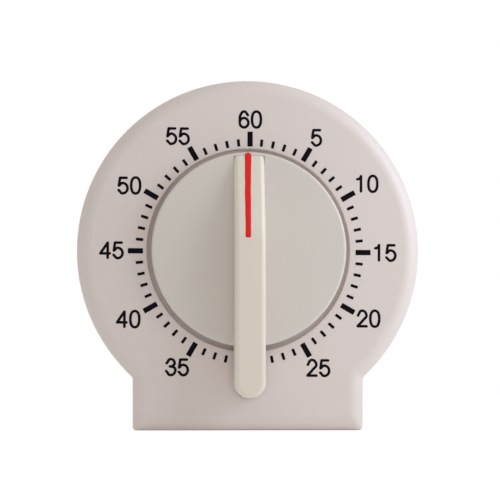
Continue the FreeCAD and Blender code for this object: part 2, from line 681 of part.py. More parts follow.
def build_grip_bar():
    """Bar across the knob: a ramp with the pointer groove, a plateau and a long round tail."""
    body = new_body("grip_bar")
    side = new_sketch(body, "bar_profile", "YZ_Plane")
    sketch_polygon(
        side,
        (
            ("-1 * grip_tail_reach", "grip_tail_under"),
            ("-1 * grip_tail_start", "grip_tail_under"),
            ("-1 * grip_tail_start", "slot_level"),
            ("grip_tip_reach", "slot_level"),
            ("grip_tip_reach", "grip_ramp_front"),
            ("grip_ramp_start", "grip_front"),
            ("-1 * grip_tail_reach", "grip_front"),
        ),
    )
    bar = feature(body, "Pad", "bar_block", side, Length="2 * grip_half_width")
    bar.Midplane = True
    doc.recompute()
    tail = -of("grip_tail_reach")
    round_edges(
        body,
        "tail_end",
        "grip_half_width - thread_gap",
        lambda edge: is_upright(edge) and edge.BoundBox.YMax < tail + TOLERANCE,
    )
    ramp_low, ramp_high = of("grip_ramp_front"), of("grip_front")
    start, tip = of("grip_ramp_start"), of("grip_tip_reach")
    round_edges(
        body,
        "bar_crease",
        "grip_crease_round",
        lambda edge: lies_at(edge, ramp_high) and edge.BoundBox.YMin > start - TOLERANCE,
    )
    round_edges(
        body,
        "bar_edges",
        "grip_round",
        lambda edge: is_front_edge(edge, ramp_low, ramp_high),
    )
    round_edges(
        body,
        "ramp_end",
        "grip_tip_round",
        lambda edge: lies_at(edge, ramp_low) and edge.BoundBox.YMin > tip - TOLERANCE,
    )
    groove = new_sketch(body, "groove_profile", "YZ_Plane", "groove_shift")
    sketch_polygon(
        groove,
        (
            ("grip_ramp_start", "grip_front + overcut"),
            ("grip_ramp_start", "grip_front - groove_depth"),
            ("grip_tip_reach + overcut", f"{ramp_end()} - groove_depth"),
            ("grip_tip_reach + overcut", "grip_front + overcut"),
        ),
    )
    made = feature(body, "Pocket", "pointer_groove", groove, Length="2 * groove_half_width")
    made.Midplane = True
    doc.recompute()


def ramp_end():
    """Height of the ramp's line, carried on past the bar's pointer end."""
    fall = "(grip_front - grip_ramp_front) / (grip_tip_reach - grip_ramp_start)"
    return f"grip_ramp_front - overcut * {fall}"


def is_front_edge(edge, low, high):
    """The long front edges of the bar: level ones at full height, and the ramp's sides."""
    span = edge.BoundBox
    across = span.YLength < TOLERANCE
    return span.ZMin > low - TOLERANCE and span.ZMax > high - TOLERANCE and not across


# Gears


def involute(angle):
    return math.tan(angle) - angle


def gear_points(teeth, module, shift, addendum, dedendum):
    """Tooth outline, a tooth centred on +x: each flank is two flats along its involute."""
    pitch = module * teeth / 2
    base = pitch * math.cos(PRESSURE_ANGLE)
    tip, root = pitch + addendum * module, pitch - dedendum * module
    thick = module * (math.pi / 2 + 2 * shift * math.tan(PRESSURE_ANGLE)) - BACKLASH

    def half_angle(radius):
        roll = math.acos(min(1.0, base / max(radius, base)))
        return thick / (2 * pitch) + involute(PRESSURE_ANGLE) - involute(roll)

    start = max(base, root)
    radii = [start, (start + tip) / 2, tip]
    if root < base:
        radii.insert(0, root)
    points = []
    for tooth in range(teeth):
        middle = 2 * math.pi * tooth / teeth
        rising = [(radius, middle - half_angle(radius)) for radius in radii]
        falling = [(radius, middle + half_angle(radius)) for radius in reversed(radii)]
        for radius, turn in rising + falling:
            points.append(Vector(radius * math.cos(turn), radius * math.sin(turn), 0))
    return points


def wheel_shape(points, thickness, bore, window_ring=0.0, window=0.0):
    """A flat wheel with a bore and, where asked, a ring of round windows."""
    blank = outline_prism(points, thickness)
    tools = [Part.makeCylinder(bore, thickness)]
    if window:
        for number in range(WINDOWS):
            middle = polar_point(window_ring, 360.0 * number / WINDOWS)
            tools.append(Part.makeCylinder(window, thickness, middle))
    return blank.cut(tools)


def train_wheel(name, teeth, thickness, at, toward):
    """A wheel of the train, a tooth towards its pinion; the cells with its name size it."""
    points = gear_points(teeth, of(f"{name}_module"), **WHEEL_TOOTH)
    ring, window = of(f"{name}_window_ring"), of(f"{name}_window")
    shape = wheel_shape(points, of(thickness), collar_bore(), ring, window)
    turn = Rotation(Vector(0, 0, 1), toward)
    place = Placement(Vector(at.x, at.y, of(f"{name}_level")), turn)
    sub_part(drawn(shape), f"{name}_wheel", place)


def pinion(name, leaves, module, at, toward):
    """Pinion leaves, with a gap towards the driving wheel; the cells with its name size it."""
    points = gear_points(leaves, of(module), **PINION_TOOTH)
    rear, front = of(f"{name}_pinion_rear"), of(f"{name}_pinion_front")
    cut_leaves = drawn(outline_prism(points, front - rear))
    turn = Rotation(Vector(0, 0, 1), toward + 180.0 / leaves)
    cut_leaves.Placement = Placement(Vector(at.x, at.y, rear), turn)
    return cut_leaves


def collar_bore():
    """Radius of a hole pressed on a train arbor."""
    return of("arbor_radius") + of("thread_gap")


def saw_points(teeth, tip, root, lean):
    """A saw-toothed outline: each tooth has a steep side and a long slope."""
    points = []
    for tooth in range(teeth):
        middle = 360.0 * tooth / teeth
        points.append(polar_point(tip, middle))
        points.append(polar_point(root, middle + lean))
    return points


# Levers


def lever_shape(arms, thickness, eye, bore):
    """A flat lever: tapered arms from an eye with a bore; an arm is (angle, reach, width)."""
    whole = Part.makeCylinder(eye, thickness)
    for angle, reach, width in arms:
        end_radius = width / 2
        along = polar_point(1, angle)
        across = polar_point(1, angle + 90)
        tip = along * (reach - end_radius)
        root = eye * ARM_ROOT_SHARE
        corners = [across * root, tip + across * end_radius]
        corners += [tip - across * end_radius, across * -root]
        whole = whole.fuse(outline_prism(corners, thickness))
        whole = whole.fuse(Part.makeCylinder(end_radius, thickness, tip))
    return whole.cut(Part.makeCylinder(bore, thickness)).removeSplitter()


def flat_place(at, level):
    return Placement(Vector(at.x, at.y, level), Rotation())


def build_plates():
    """The two round movement plates, with their pivot, pillar and fixing holes."""
    train = (SECOND, THIRD, ESCAPE, VERGE, HAMMER)
    pivots = ("pivot_radius + running_gap", train)
    pillars = ("pillar_screw_radius + running_gap", PILLARS)
    mounts = ("mount_screw_radius + thread_gap", MOUNTS)
    bush = ("bush_radius + thread_gap", (CENTRE,))
    post = ("arbor_radius + thread_gap", (spring_post_spot(),))
    rear_main = ("main_pivot_radius + running_gap", (CENTRE,))
    rear_stud = ("arbor_radius + thread_gap", (STUD, spring_stud_spot()))
    rear_bell = ("bell_post_radius + thread_gap", (BELL,))
    for label, level, holes in (
        ("front_plate", "front_plate_level", (pivots, pillars, mounts, bush, post)),
        (
            "back_plate",
            "back_plate_level - plate_thickness",
            (pivots, pillars, rear_main, rear_stud, rear_bell),
        ),
    ):
        front = f"{level} + plate_thickness"
        disc = cylinder("plate_radius", level, front)
        tools = [
            cylinder(radius, level, front, spot) for radius, spots in holes for spot in spots
        ]
        sub_part(cut(disc, tools), label)


def spring_post_spot():
    return polar("post_reach", "train_angle + stud_angle")


def spring_stud_spot():
    return polar("trip_post_reach", "train_angle + stud_angle + trip_post_angle")


def build_pillars():
    """Three turned pillars with a threaded hole in each end, and their six screws."""
    rear, front = "back_plate_level", "front_plate_level"
    depth = "pillar_screw_depth + run_out"
    pillars, screws = [], []
    for spot in PILLARS:
        rod = cylinder("pillar_radius", rear, front, spot)
        hole = "pillar_screw_radius + thread_gap"
        rear_hole = cylinder(hole, rear, f"{rear} + {depth}", spot)
        front_hole = cylinder(hole, f"{front} - ({depth})", front, spot)
        pillars.append(cut(rod, [rear_hole, front_hole]))
        outer = f"{front} + plate_thickness"
        head_top = f"{outer} + pillar_head_height"
        head = cylinder("pillar_head_radius", outer, head_top, spot)
        shank = cylinder("pillar_screw_radius", f"{front} - pillar_screw_depth", outer, spot)
        screws.append(slotted(fuse([head, shank]), "pillar_head_radius", head_top, spot))
        outer = f"{rear} - plate_thickness"
        head_top = f"{outer} - pillar_head_height"
        head = cylinder("pillar_head_radius", head_top, outer, spot)
        shank = cylinder("pillar_screw_radius", outer, f"{rear} + pillar_screw_depth", spot)
        slot_front = f"{head_top} + driver_slot"
        screws.append(slotted(fuse([head, shank]), "pillar_head_radius", slot_front, spot))
    sub_part(group(pillars), "plate_pillars")
    sub_part(group(screws), "pillar_screws")


def slotted(screw, head_radius, slot_front, spot):
    """A screw with a driver slot whose front side is at the given level."""
    corner = (
        f"{spot[0]} - {head_radius}",
        f"{spot[1]} - driver_slot / 2",
        f"{slot_front} - driver_slot",
    )
    return cut(screw, [box(f"2 * {head_radius}", "driver_slot", "driver_slot", corner)])


def crossed(screw, head_rear, spot):
    """A screw with a cross recess in its rear-facing head."""
    flat = (f"{spot[0]} - cross_reach", f"{spot[1]} - cross_width / 2", head_rear)
    tall = (f"{spot[0]} - cross_width / 2", f"{spot[1]} - cross_reach", head_rear)
    flat_arm = box("2 * cross_reach", "cross_width", "cross_depth", flat)
    tall_arm = box("cross_width", "2 * cross_reach", "cross_depth", tall)
    return cut(screw, [flat_arm, tall_arm])


def build_case_screws():
    """Four cover screws in their wells, and three movement screws under the knob."""
    cover, movement = [], []
    for spot in COVER_SPOTS:
        seat, rear = "counterbore_level", "counterbore_level - cover_head_height"
        head = cylinder("cover_head_radius", rear, seat, spot)
        shank = cylinder("cover_shank_radius", seat, "cover_tip_level", spot)
        cover.append(crossed(fuse([head, shank]), rear, spot))
    for spot in MOUNTS:
        seat, front = "recess_level", "recess_level + mount_head_height"
        head = cylinder("mount_head_radius", seat, front, spot)
        shank = cylinder("mount_screw_radius", "mount_tip_level", seat, spot)
        movement.append(slotted(fuse([head, shank]), "mount_head_radius", front, spot))
    sub_part(group(cover), "cover_screws")
    sub_part(group(movement), "movement_screws")


def build_main_arbor():
    """The bush in the front plate and the arbor that carries knob, ratchet and cam."""
    flange_rear = "front_plate_level - bush_flange"
    flange = cylinder("bush_flange_radius", flange_rear, "front_plate_level")
    sleeve = cylinder("bush_radius", flange_rear, "bush_front")
    bore = cylinder("main_radius + running_gap", flange_rear, "bush_front")
    sub_part(cut(fuse([flange, sleeve]), [bore]), "main_bush")
    rear = "back_plate_level + shake"
    rod = cylinder("main_radius", rear, "main_front")
    pivot = cylinder("main_pivot_radius", "back_plate_level - plate_thickness - pivot_proud", rear)
    flat = box(
        "2 * main_radius",
        "main_radius",
        "main_front - bush_front",
        ("-1 * main_radius", "flat_reach", "bush_front"),
    )
    sub_part(cut(fuse([rod, pivot]), [flat]), "main_arbor")


def build_great_wheel():
    """Great wheel, loose on the main arbor, with the click that the ratchet slips past."""
    bore = of("main_radius") + of("running_gap")
    level, thick = of("great_level"), of("great_thickness")
    points = gear_points(GREAT_TEETH, of("great_module"), **WHEEL_TOOTH)
    shape = wheel_shape(points, thick, bore)
    # A tooth stands on the line to the second arbor, whose pinion has a gap there.
    shape.rotate(Vector(), Vector(0, 0, 1), of("train_angle"))
    click_at = polar_point(of("click_reach"), of("click_angle"))
    anchor_at = polar_point(of("click_reach"), of("anchor_angle"))
    stud, press = of("click_stud_radius"), of("thread_gap")
    for middle in (click_at, anchor_at):
        shape = shape.cut(Part.makeCylinder(stud + press, thick, middle))
    sub_part(drawn(shape), "great_wheel", flat_place(Vector(), level))

    top = of("ratchet_level") + of("ratchet_thickness") + of("stud_proud")
    studs = [Part.makeCylinder(stud, top - level, middle) for middle in (click_at, anchor_at)]
    sub_part(drawn(Part.makeCompound(studs)), "click_studs", flat_place(Vector(), level))

    tip, root = of("ratchet_radius"), of("ratchet_root")
    points = saw_points(RATCHET_TEETH, tip, root, of("ratchet_lean"))
    ratchet = wheel_shape(points, of("ratchet_thickness"), of("main_radius") + press)
    turn = Rotation(Vector(0, 0, 1), RATCHET_PHASE)
    place = Placement(Vector(0, 0, of("ratchet_level")), turn)
    sub_part(drawn(ratchet), "ratchet_wheel", place)

    nose = polar_point(tip + of("open_gap"), of("click_angle") - of("click_lead"))
    arms = [(heading(click_at, nose), nose.distanceToPoint(click_at), of("click_width"))]
    bore = stud + of("running_gap")
    click = lever_shape(arms, of("click_thickness"), of("click_eye"), bore)
    sub_part(drawn(click), "click", flat_place(click_at, of("ratchet_level")))

    reach = anchor_at.distanceToPoint(click_at) - of("click_eye") - of("open_gap")
    arms = [(heading(anchor_at, click_at), reach, of("leaf_width"))]
    depth, eye = of("click_spring_depth"), of("click_spring_eye")
    spring = lever_shape(arms, depth, eye, stud + press)
    sub_part(drawn(spring), "click_spring", flat_place(anchor_at, of("ratchet_level")))


def build_train():
    """Three arbors with cut pinions, each driven by the wheel before it."""
    to_centre = heading(second_at, Vector())
    leaves = pinion("second", SECOND_LEAVES, "great_module", second_at, to_centre)
    sub_part(arbor(SECOND, [leaves]), "second_arbor")
    to_third = heading(second_at, third_at)
    train_wheel("second", SECOND_TEETH, "wheel_thickness", second_at, to_third)
    leaves = pinion("third", THIRD_LEAVES, "second_module", third_at, to_third + 180.0)
    sub_part(arbor(THIRD, [leaves]), "third_arbor")
    to_escape = heading(third_at, escape_at)
    train_wheel("third", THIRD_TEETH, "thin_wheel", third_at, to_escape)
    leaves = pinion("escape", ESCAPE_LEAVES, "third_module", escape_at, to_escape + 180.0)
    sub_part(arbor(ESCAPE, [leaves]), "escape_arbor")


def build_escapement():
    """Escape wheel, two-armed pallet and the inertia disc that slows it."""
    tip, root, lean = of("escape_radius"), of("escape_root"), of("escape_lean")
    points = saw_points(ESCAPE_TEETH, tip, root, lean)
    thick, ring, window = of("thin_wheel"), of("escape_window_ring"), of("escape_window")
    shape = wheel_shape(points, thick, collar_bore(), ring, window)
    sub_part(drawn(shape), "escape_wheel", flat_place(escape_at, of("escape_level")))
    sub_part(arbor(VERGE), "verge_arbor")
    toward = heading(escape_at, verge_at)
    arms = []
    for side in (-1, 1):
        direction = toward + side * of("pallet_spread")
        tip = escape_at + polar_point(of("pallet_circle"), direction)
        length = tip.distanceToPoint(verge_at)
        arms.append((heading(verge_at, tip), length, of("pallet_width")))
    pallet = lever_shape(arms, thick, of("pallet_eye"), collar_bore())
    sub_part(drawn(pallet), "verge_pallet", flat_place(verge_at, of("escape_level")))
    front = "disc_level + disc_thickness"
    disc = cylinder("disc_radius", "disc_level", front, VERGE)
    hole = cylinder("arbor_radius + thread_gap", "disc_level", front, VERGE)
    sub_part(cut(disc, [hole]), "inertia_disc")


def build_mainspring():
    """Spiral strip round the main arbor, and the post that holds its outer end."""
    inner, outer = of("spring_inner"), of("spring_outer")
    strip, turns = of("spring_strip"), SPRING_TURNS
    end_angle = math.radians(of("train_angle") + of("stud_angle"))
    start_angle = end_angle - 2 * math.pi * turns
    steps = turns * SPRING_POINTS
    inside, outside = [], []
    for step in range(steps + 1):
        share = step / steps
        turn = start_angle + share * (end_angle - start_angle)
        radius = inner + share * (outer - inner)
        direction = Vector(math.cos(turn), math.sin(turn), 0)
        inside.append(direction * (radius - strip / 2))
        outside.append(direction * (radius + strip / 2))
    edges = []
    for points in (inside, outside):
        curve = Part.BSplineCurve()
        curve.interpolate(points)
        edges.append(curve.toShape())
    edges.append(Part.makeLine(inside[0], outside[0]))
    edges.append(Part.makeLine(inside[-1], outside[-1]))
    face = Part.Face(Part.Wire(Part.__sortEdges__(edges)))
    coil = face.extrude(Vector(0, 0, of("spring_height")))
    sub_part(drawn(coil), "mainspring", flat_place(Vector(), of("spring_level")))
    spot = spring_post_spot()
    front = "front_plate_level + plate_thickness"
    sub_part(group([cylinder("arbor_radius", "spring_level", front, spot)]), "spring_post")


def build_alarm():
    """Cam on the main arbor, trip lever with its spring, and strike wheel."""
    thick, level = of("cam_thickness"), of("cam_level")
    nose_reach = of("cam_radius") + of("nose_gap")
    nose_angle = of("train_angle") + of("stud_angle") + of("nose_swing")
    nose = polar_point(nose_reach, nose_angle)
    notch_angle = nose_angle - of("cam_notch_lag")

    cam = Part.makeCylinder(of("cam_radius"), thick)
    spread, reach = of("cam_notch_half_angle"), of("cam_radius") + of("overcut")
    floor = of("cam_radius") - of("cam_notch_depth")
    notch = outline_prism(
        [
            polar_point(floor, notch_angle - spread),
            polar_point(reach, notch_angle - spread),
            polar_point(reach, notch_angle + spread),
            polar_point(floor, notch_angle + spread),
        ],
        thick,
    )
    bore = Part.makeCylinder(of("main_radius") + of("thread_gap"), thick)
    sub_part(drawn(cam.cut([notch, bore])), "alarm_cam", flat_place(Vector(), level))

    stud_front = "cam_level + cam_thickness + running_gap"
    plate_rear = "back_plate_level - plate_thickness"
    stud = cylinder("arbor_radius", plate_rear, stud_front, STUD)
    collar = cylinder("stud_collar", "back_plate_level", "cam_level - running_gap", STUD)
    sub_part(fuse([stud, collar]), "lever_stud")
    to_hammer = heading(stud_at, hammer_at)
    tail_reach = stud_at.distanceToPoint(hammer_at) - of("tail_short")
    arms = [
        (heading(stud_at, nose), nose.distanceToPoint(stud_at), of("nose_width")),
        (to_hammer, tail_reach, of("tail_width")),
    ]
    bore = of("arbor_radius") + of("running_gap")
    lever = lever_shape(arms, thick, of("lever_eye"), bore)
    sub_part(drawn(lever), "trip_lever", flat_place(stud_at, level))

    post = cylinder("arbor_radius", plate_rear, stud_front, spring_stud_spot())
    sub_part(group([post]), "trip_spring_post")
    anchor_turn = of("train_angle") + of("stud_angle") + of("trip_post_angle")
    anchor = polar_point(of("trip_post_reach"), anchor_turn)
    tail = polar_point(1, to_hammer)
    touch = stud_at + tail * of("trip_touch") + Vector(tail.y, -tail.x, 0) * of("trip_gap")
    arms = [(heading(anchor, touch), anchor.distanceToPoint(touch), of("leaf_width"))]
    depth, eye = of("trip_spring_depth"), of("trip_spring_eye")
    strip = lever_shape(arms, depth, eye, collar_bore())
    sub_part(drawn(strip), "trip_spring", flat_place(anchor, level))

    tip, root, lean = of("strike_radius"), of("strike_root"), of("strike_lean")
    strike = wheel_shape(saw_points(STRIKE_TEETH, tip, root, lean), thick, collar_bore())
    sub_part(drawn(strike), "strike_wheel", flat_place(second_at, of("strike_level")))


def build_hammer():
    """Hammer arbor with its pallet between the plates and its arm and head in the bell."""
    rear_rod = cylinder(
        "pivot_radius", "hammer_end_level", "back_plate_level + shake", HAMMER
    )
    sub_part(arbor(HAMMER, [rear_rod]), "hammer_arbor")
    thick = of("cam_thickness")
    to_wheel = heading(hammer_at, second_at)
    reach = hammer_at.distanceToPoint(second_at) - of("strike_radius") - of("open_gap")
    arms = [(to_wheel, reach, of("hammer_pallet_width"))]
    pallet = lever_shape(arms, thick, of("hammer_pallet_eye"), collar_bore())
    sub_part(drawn(pallet), "hammer_pallet", flat_place(hammer_at, of("strike_level")))

    # The head lies where its circle round the bell and its circle round the arbor cross.
    offset = bell_at.distanceToPoint(hammer_at)
    ring, length = of("head_reach"), of("hammer_arm_length")
    cosine = (ring**2 + offset**2 - length**2) / (2 * ring * offset)
    turn = heading(bell_at, hammer_at) - math.degrees(math.acos(cosine))
    head_at = bell_at + polar_point(ring, turn)
    arm_level, width = of("hammer_arm_level"), of("hammer_arm_width")
    bore = of("pivot_radius") + of("thread_gap")
    arms = [(heading(hammer_at, head_at), length + width / 2, width)]
    arm = lever_shape(arms, thick, of("hammer_arm_eye"), bore)
    eye = Part.makeCylinder(bore, thick, head_at - hammer_at)
    sub_part(drawn(arm.cut(eye)), "hammer_arm", flat_place(hammer_at, arm_level))
    rear = of("head_rear_level")
    weight = Part.makeCylinder(of("head_radius"), arm_level - rear)
    rivet = Part.makeCylinder(of("pivot_radius"), arm_level + thick + of("stud_proud") - rear)
    sub_part(drawn(weight.fuse(rivet)), "hammer_head", flat_place(head_at, rear))


def build_bell():
    """Shallow steel cup on a post riveted in the back plate, held by one screw."""
    body = new_body("bell")
    profile = new_sketch(body, "bell_profile", "XZ_Plane")
    inner = "bell_radius - bell_wall"
    hole = "bell_screw_radius + running_gap"
    crown = "bell_crown_level - bell_wall"
    sketch_polygon(
        profile,
        (
            (hole, crown),
            ("bell_radius", crown),
            ("bell_radius", "bell_rim_level"),
            (inner, "bell_rim_level"),
            (inner, "bell_crown_level"),
            (hole, "bell_crown_level"),
        ),
    )
    turned = body.newObject("PartDesign::Revolution", "bell_turned")
    turned.Profile = profile
    turned.ReferenceAxis = (profile, ["V_Axis"])
    turned.Angle = 360.0
    doc.recompute()
    level = of("bell_crown_level") - of("bell_wall")
    round_edges(
        body,
        "bell_shoulder",
        "bell_round",
        lambda edge: circle_level(edge, of("bell_radius"), level),
    )
    level_inside = of("bell_crown_level")
    round_edges(
        body,
        "bell_shoulder_inside",
        "bell_round - bell_wall",
        lambda edge: circle_level(edge, of("bell_radius") - of("bell_wall"), level_inside),
    )
    body.Placement = standing(flat_place(bell_at, 0))

    rear = "bell_crown_level"
    stem = cylinder("bell_post_radius", rear, "back_plate_level", BELL)
    foot_front = "back_plate_level - plate_thickness"
    foot = cylinder("bell_post_foot", f"{foot_front} - bell_foot_thickness", foot_front, BELL)
    thread_end = f"{rear} + bell_screw_depth + run_out"
    thread = cylinder("bell_screw_radius + thread_gap", rear, thread_end, BELL)
    sub_part(cut(fuse([stem, foot]), [thread]), "bell_post")
    seat = "bell_crown_level - bell_wall"
    head_rear = f"{seat} - bell_head_height"
    head = cylinder("bell_head_radius", head_rear, seat, BELL)
    shank = cylinder("bell_screw_radius", seat, f"{rear} + bell_screw_depth", BELL)
    screw = fuse([head, shank])
    slot_front = f"{head_rear} + driver_slot"
    sub_part(slotted(screw, "bell_head_radius", slot_front, BELL), "bell_screw")


build_front_case()
build_back_cover()
build_knob_disc()
build_grip_bar()
build_plates()
build_pillars()
build_case_screws()
build_main_arbor()
build_great_wheel()
build_train()
build_escapement()
build_mainspring()
build_alarm()
build_hammer()
build_bell()
doc.recompute()

for thing in doc.Objects:
    if "Invalid" in thing.State or "Error" in thing.State:
        raise RuntimeError(f"{thing.Label} failed: {thing.State}")
for piece in sub_parts:
    if piece.Shape.isNull() or not piece.Shape.isValid():
        raise RuntimeError(f"{piece.Label} has no sound shape")

os.makedirs("parts", exist_ok=True)
for piece in sub_parts:
    piece.Shape.exportStep(os.path.join("parts", f"{piece.Label}.step"))
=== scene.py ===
"""Sixty-minute kitchen timer: a round moulded case on a flat foot, with a printed scale, a sunk
knob with a long grip bar and a red pointer line, and a clockwork movement with a bell inside.

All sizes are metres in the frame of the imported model: +X right, +Z up, the dial faces -Y and the
timer stands on Z = 0.
"""

import math

import bpy
from mathutils import Matrix, Vector


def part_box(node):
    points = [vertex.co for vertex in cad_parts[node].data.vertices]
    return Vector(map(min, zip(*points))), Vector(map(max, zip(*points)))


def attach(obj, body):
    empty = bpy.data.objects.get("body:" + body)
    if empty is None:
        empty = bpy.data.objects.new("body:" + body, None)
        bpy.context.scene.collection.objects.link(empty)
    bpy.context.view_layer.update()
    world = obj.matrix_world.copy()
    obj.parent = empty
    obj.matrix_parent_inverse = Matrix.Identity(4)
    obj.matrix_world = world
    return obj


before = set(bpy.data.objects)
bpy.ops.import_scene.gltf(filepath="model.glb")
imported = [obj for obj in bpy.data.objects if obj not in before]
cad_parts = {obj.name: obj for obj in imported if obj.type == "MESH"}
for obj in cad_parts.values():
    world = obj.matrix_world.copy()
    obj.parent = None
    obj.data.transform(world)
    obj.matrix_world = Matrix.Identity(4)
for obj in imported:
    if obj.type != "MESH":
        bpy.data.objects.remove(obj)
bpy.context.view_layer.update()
bpy.ops.object.select_all(action="DESELECT")
MM = 0.001


# ---- Camera -------------------------------------------------------------------------------
# A long lens well back from the face, lower than the dial and a little to its left, looking
# slightly up, so that the dial keeps its true round shape.

knob_low, knob_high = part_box("knob_disc")
face_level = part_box("front_case")[0].y
axis_height = (knob_low.z + knob_high.z) / 2
STAND_OFF = 480 * MM
CAMERA_LEFT = 21 * MM
CAMERA_HEIGHT = 7.7 * MM
LOOKS_RIGHT_OF_AXIS = 0.3 * MM
LENS_LENGTH = 172.4
SENSOR_WIDTH = 36.0
CLIP_NEAR, CLIP_FAR = 0.01, 50.0

camera = bpy.data.objects.new("camera", bpy.data.cameras.new("camera"))
camera.data.lens = LENS_LENGTH
camera.data.sensor_width = SENSOR_WIDTH
camera.data.clip_start, camera.data.clip_end = CLIP_NEAR, CLIP_FAR
camera.location = (-CAMERA_LEFT, face_level - STAND_OFF, CAMERA_HEIGHT)
aim = Vector((LOOKS_RIGHT_OF_AXIS, face_level, axis_height)) - camera.location
camera.rotation_euler = aim.to_track_quat("-Z", "Y").to_euler()
bpy.context.scene.collection.objects.link(camera)
bpy.context.scene.camera = camera
bpy.context.scene.view_settings.view_transform = "Standard"


# ---- Studio -------------------------------------------------------------------------------
# A white room, brighter at the top and the left, that gives most of the light, a large soft box
# close on the right and a little above, and a white table that glows, so that it stays white.


def add_node(tree, kind, inputs, **settings):
    """Adds a node; an input is a value, or another node's output to be linked."""
    made = tree.nodes.new(kind)
    for setting, value in settings.items():
        setattr(made, setting, value)
    for socket, value in inputs.items():
        if isinstance(value, bpy.types.NodeSocket):
            tree.links.new(value, made.inputs[socket])
        else:
            made.inputs[socket].default_value = value
    return made


ROOM_LIGHT = 0.50
ROOM_LEAN = Vector((-0.07, 0, 0.2))
ROOM_TINT = (1.0, 0.985, 0.97, 1.0)
BOX_SIZE = 0.13
BOX_POWER = 0.175
BOX_AT = Vector((0.155, -0.075, 0.11))
BOX_TINT = (0.84, 0.92, 1.06)

world = bpy.data.worlds.new("white_room")
world.use_nodes = True
tree = world.node_tree
tree.nodes.clear()
rays = add_node(tree, "ShaderNodeLightPath", {})
gaze = add_node(tree, "ShaderNodeTexCoord", {}).outputs["Generated"]
lean = add_node(
    tree, "ShaderNodeVectorMath", {0: gaze, 1: ROOM_LEAN}, operation="DOT_PRODUCT"
)
glow = add_node(
    tree, "ShaderNodeMath", {0: lean.outputs["Value"], 1: ROOM_LIGHT}, operation="ADD"
)
walls = add_node(
    tree, "ShaderNodeBackground", {"Color": ROOM_TINT, "Strength": glow.outputs[0]}
)
seen = add_node(tree, "ShaderNodeBackground", {"Color": (1, 1, 1, 1), "Strength": 1.0})
either = add_node(
    tree,
    "ShaderNodeMixShader",
    {0: rays.outputs["Is Camera Ray"], 1: walls.outputs[0], 2: seen.outputs[0]},
)
add_node(tree, "ShaderNodeOutputWorld", {"Surface": either.outputs[0]})
bpy.context.scene.world = world

soft_box = bpy.data.objects.new("soft_box", bpy.data.lights.new("soft_box", "AREA"))
soft_box.data.energy = BOX_POWER
soft_box.data.size = BOX_SIZE
soft_box.data.color = BOX_TINT
soft_box.location = BOX_AT
toward = Vector((0, face_level, axis_height)) - BOX_AT
soft_box.rotation_euler = toward.to_track_quat("-Z", "Y").to_euler()
bpy.context.scene.collection.objects.link(soft_box)

TABLE_SIZE = 8.0
TABLE_GAP = 0.02 * MM
TABLE_GLOW, TABLE_LIFT = 0.17, 0.43
bpy.ops.mesh.primitive_plane_add(size=TABLE_SIZE, location=(0, 0, -TABLE_GAP))
table = bpy.context.object
table.name = "table"
laminate = bpy.data.materials.new("white_laminate")
laminate.use_nodes = True
tree = laminate.node_tree
tree.nodes.clear()
rays = add_node(tree, "ShaderNodeLightPath", {})
lift = add_node(
    tree,
    "ShaderNodeMath",
    {0: rays.outputs["Is Camera Ray"], 1: TABLE_LIFT, 2: TABLE_GLOW},
    operation="MULTIPLY_ADD",
)
board = add_node(
    tree,
    "ShaderNodeBsdfPrincipled",
    {
        "Base Color": (0.8, 0.8, 0.8, 1),
        "Roughness": 0.6,
        "Emission Color": (1, 1, 1, 1),
        "Emission Strength": lift.outputs[0],
    },
)
add_node(tree, "ShaderNodeOutputMaterial", {"Surface": board.outputs[0]})
table.data.materials.append(laminate)


# ---- Case: front shell and back cover -----------------------------------------------------
# Two injection mouldings in warm white ABS, the deep front shell with the dial face and the
# shallow cover, drawn together by four screws from behind.


def colour(code):
    """Linear RGBA of an sRGB hex code."""
    parts = [int(code[place : place + 2], 16) / 255 for place in (1, 3, 5)]
    linear = [
        part / 12.92 if part <= 0.04045 else ((part + 0.055) / 1.055) ** 2.4 for part in parts
    ]
    return (*linear, 1.0)


SEE_IN, SEE_IN_DEPTH = 0.15, 1.2 * MM
SEE_IN_BY_COLOUR = (1.0, 0.85, 0.65)


def new_material(name):
    """An empty node material, and its tree."""
    material = bpy.data.materials.new(name)
    material.use_nodes = True
    material.node_tree.nodes.clear()
    return material, material.node_tree


def dress(material, *names):
    """Gives CAD nodes their finish."""
    for name in names:
        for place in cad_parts[name].material_slots:
            place.material = material


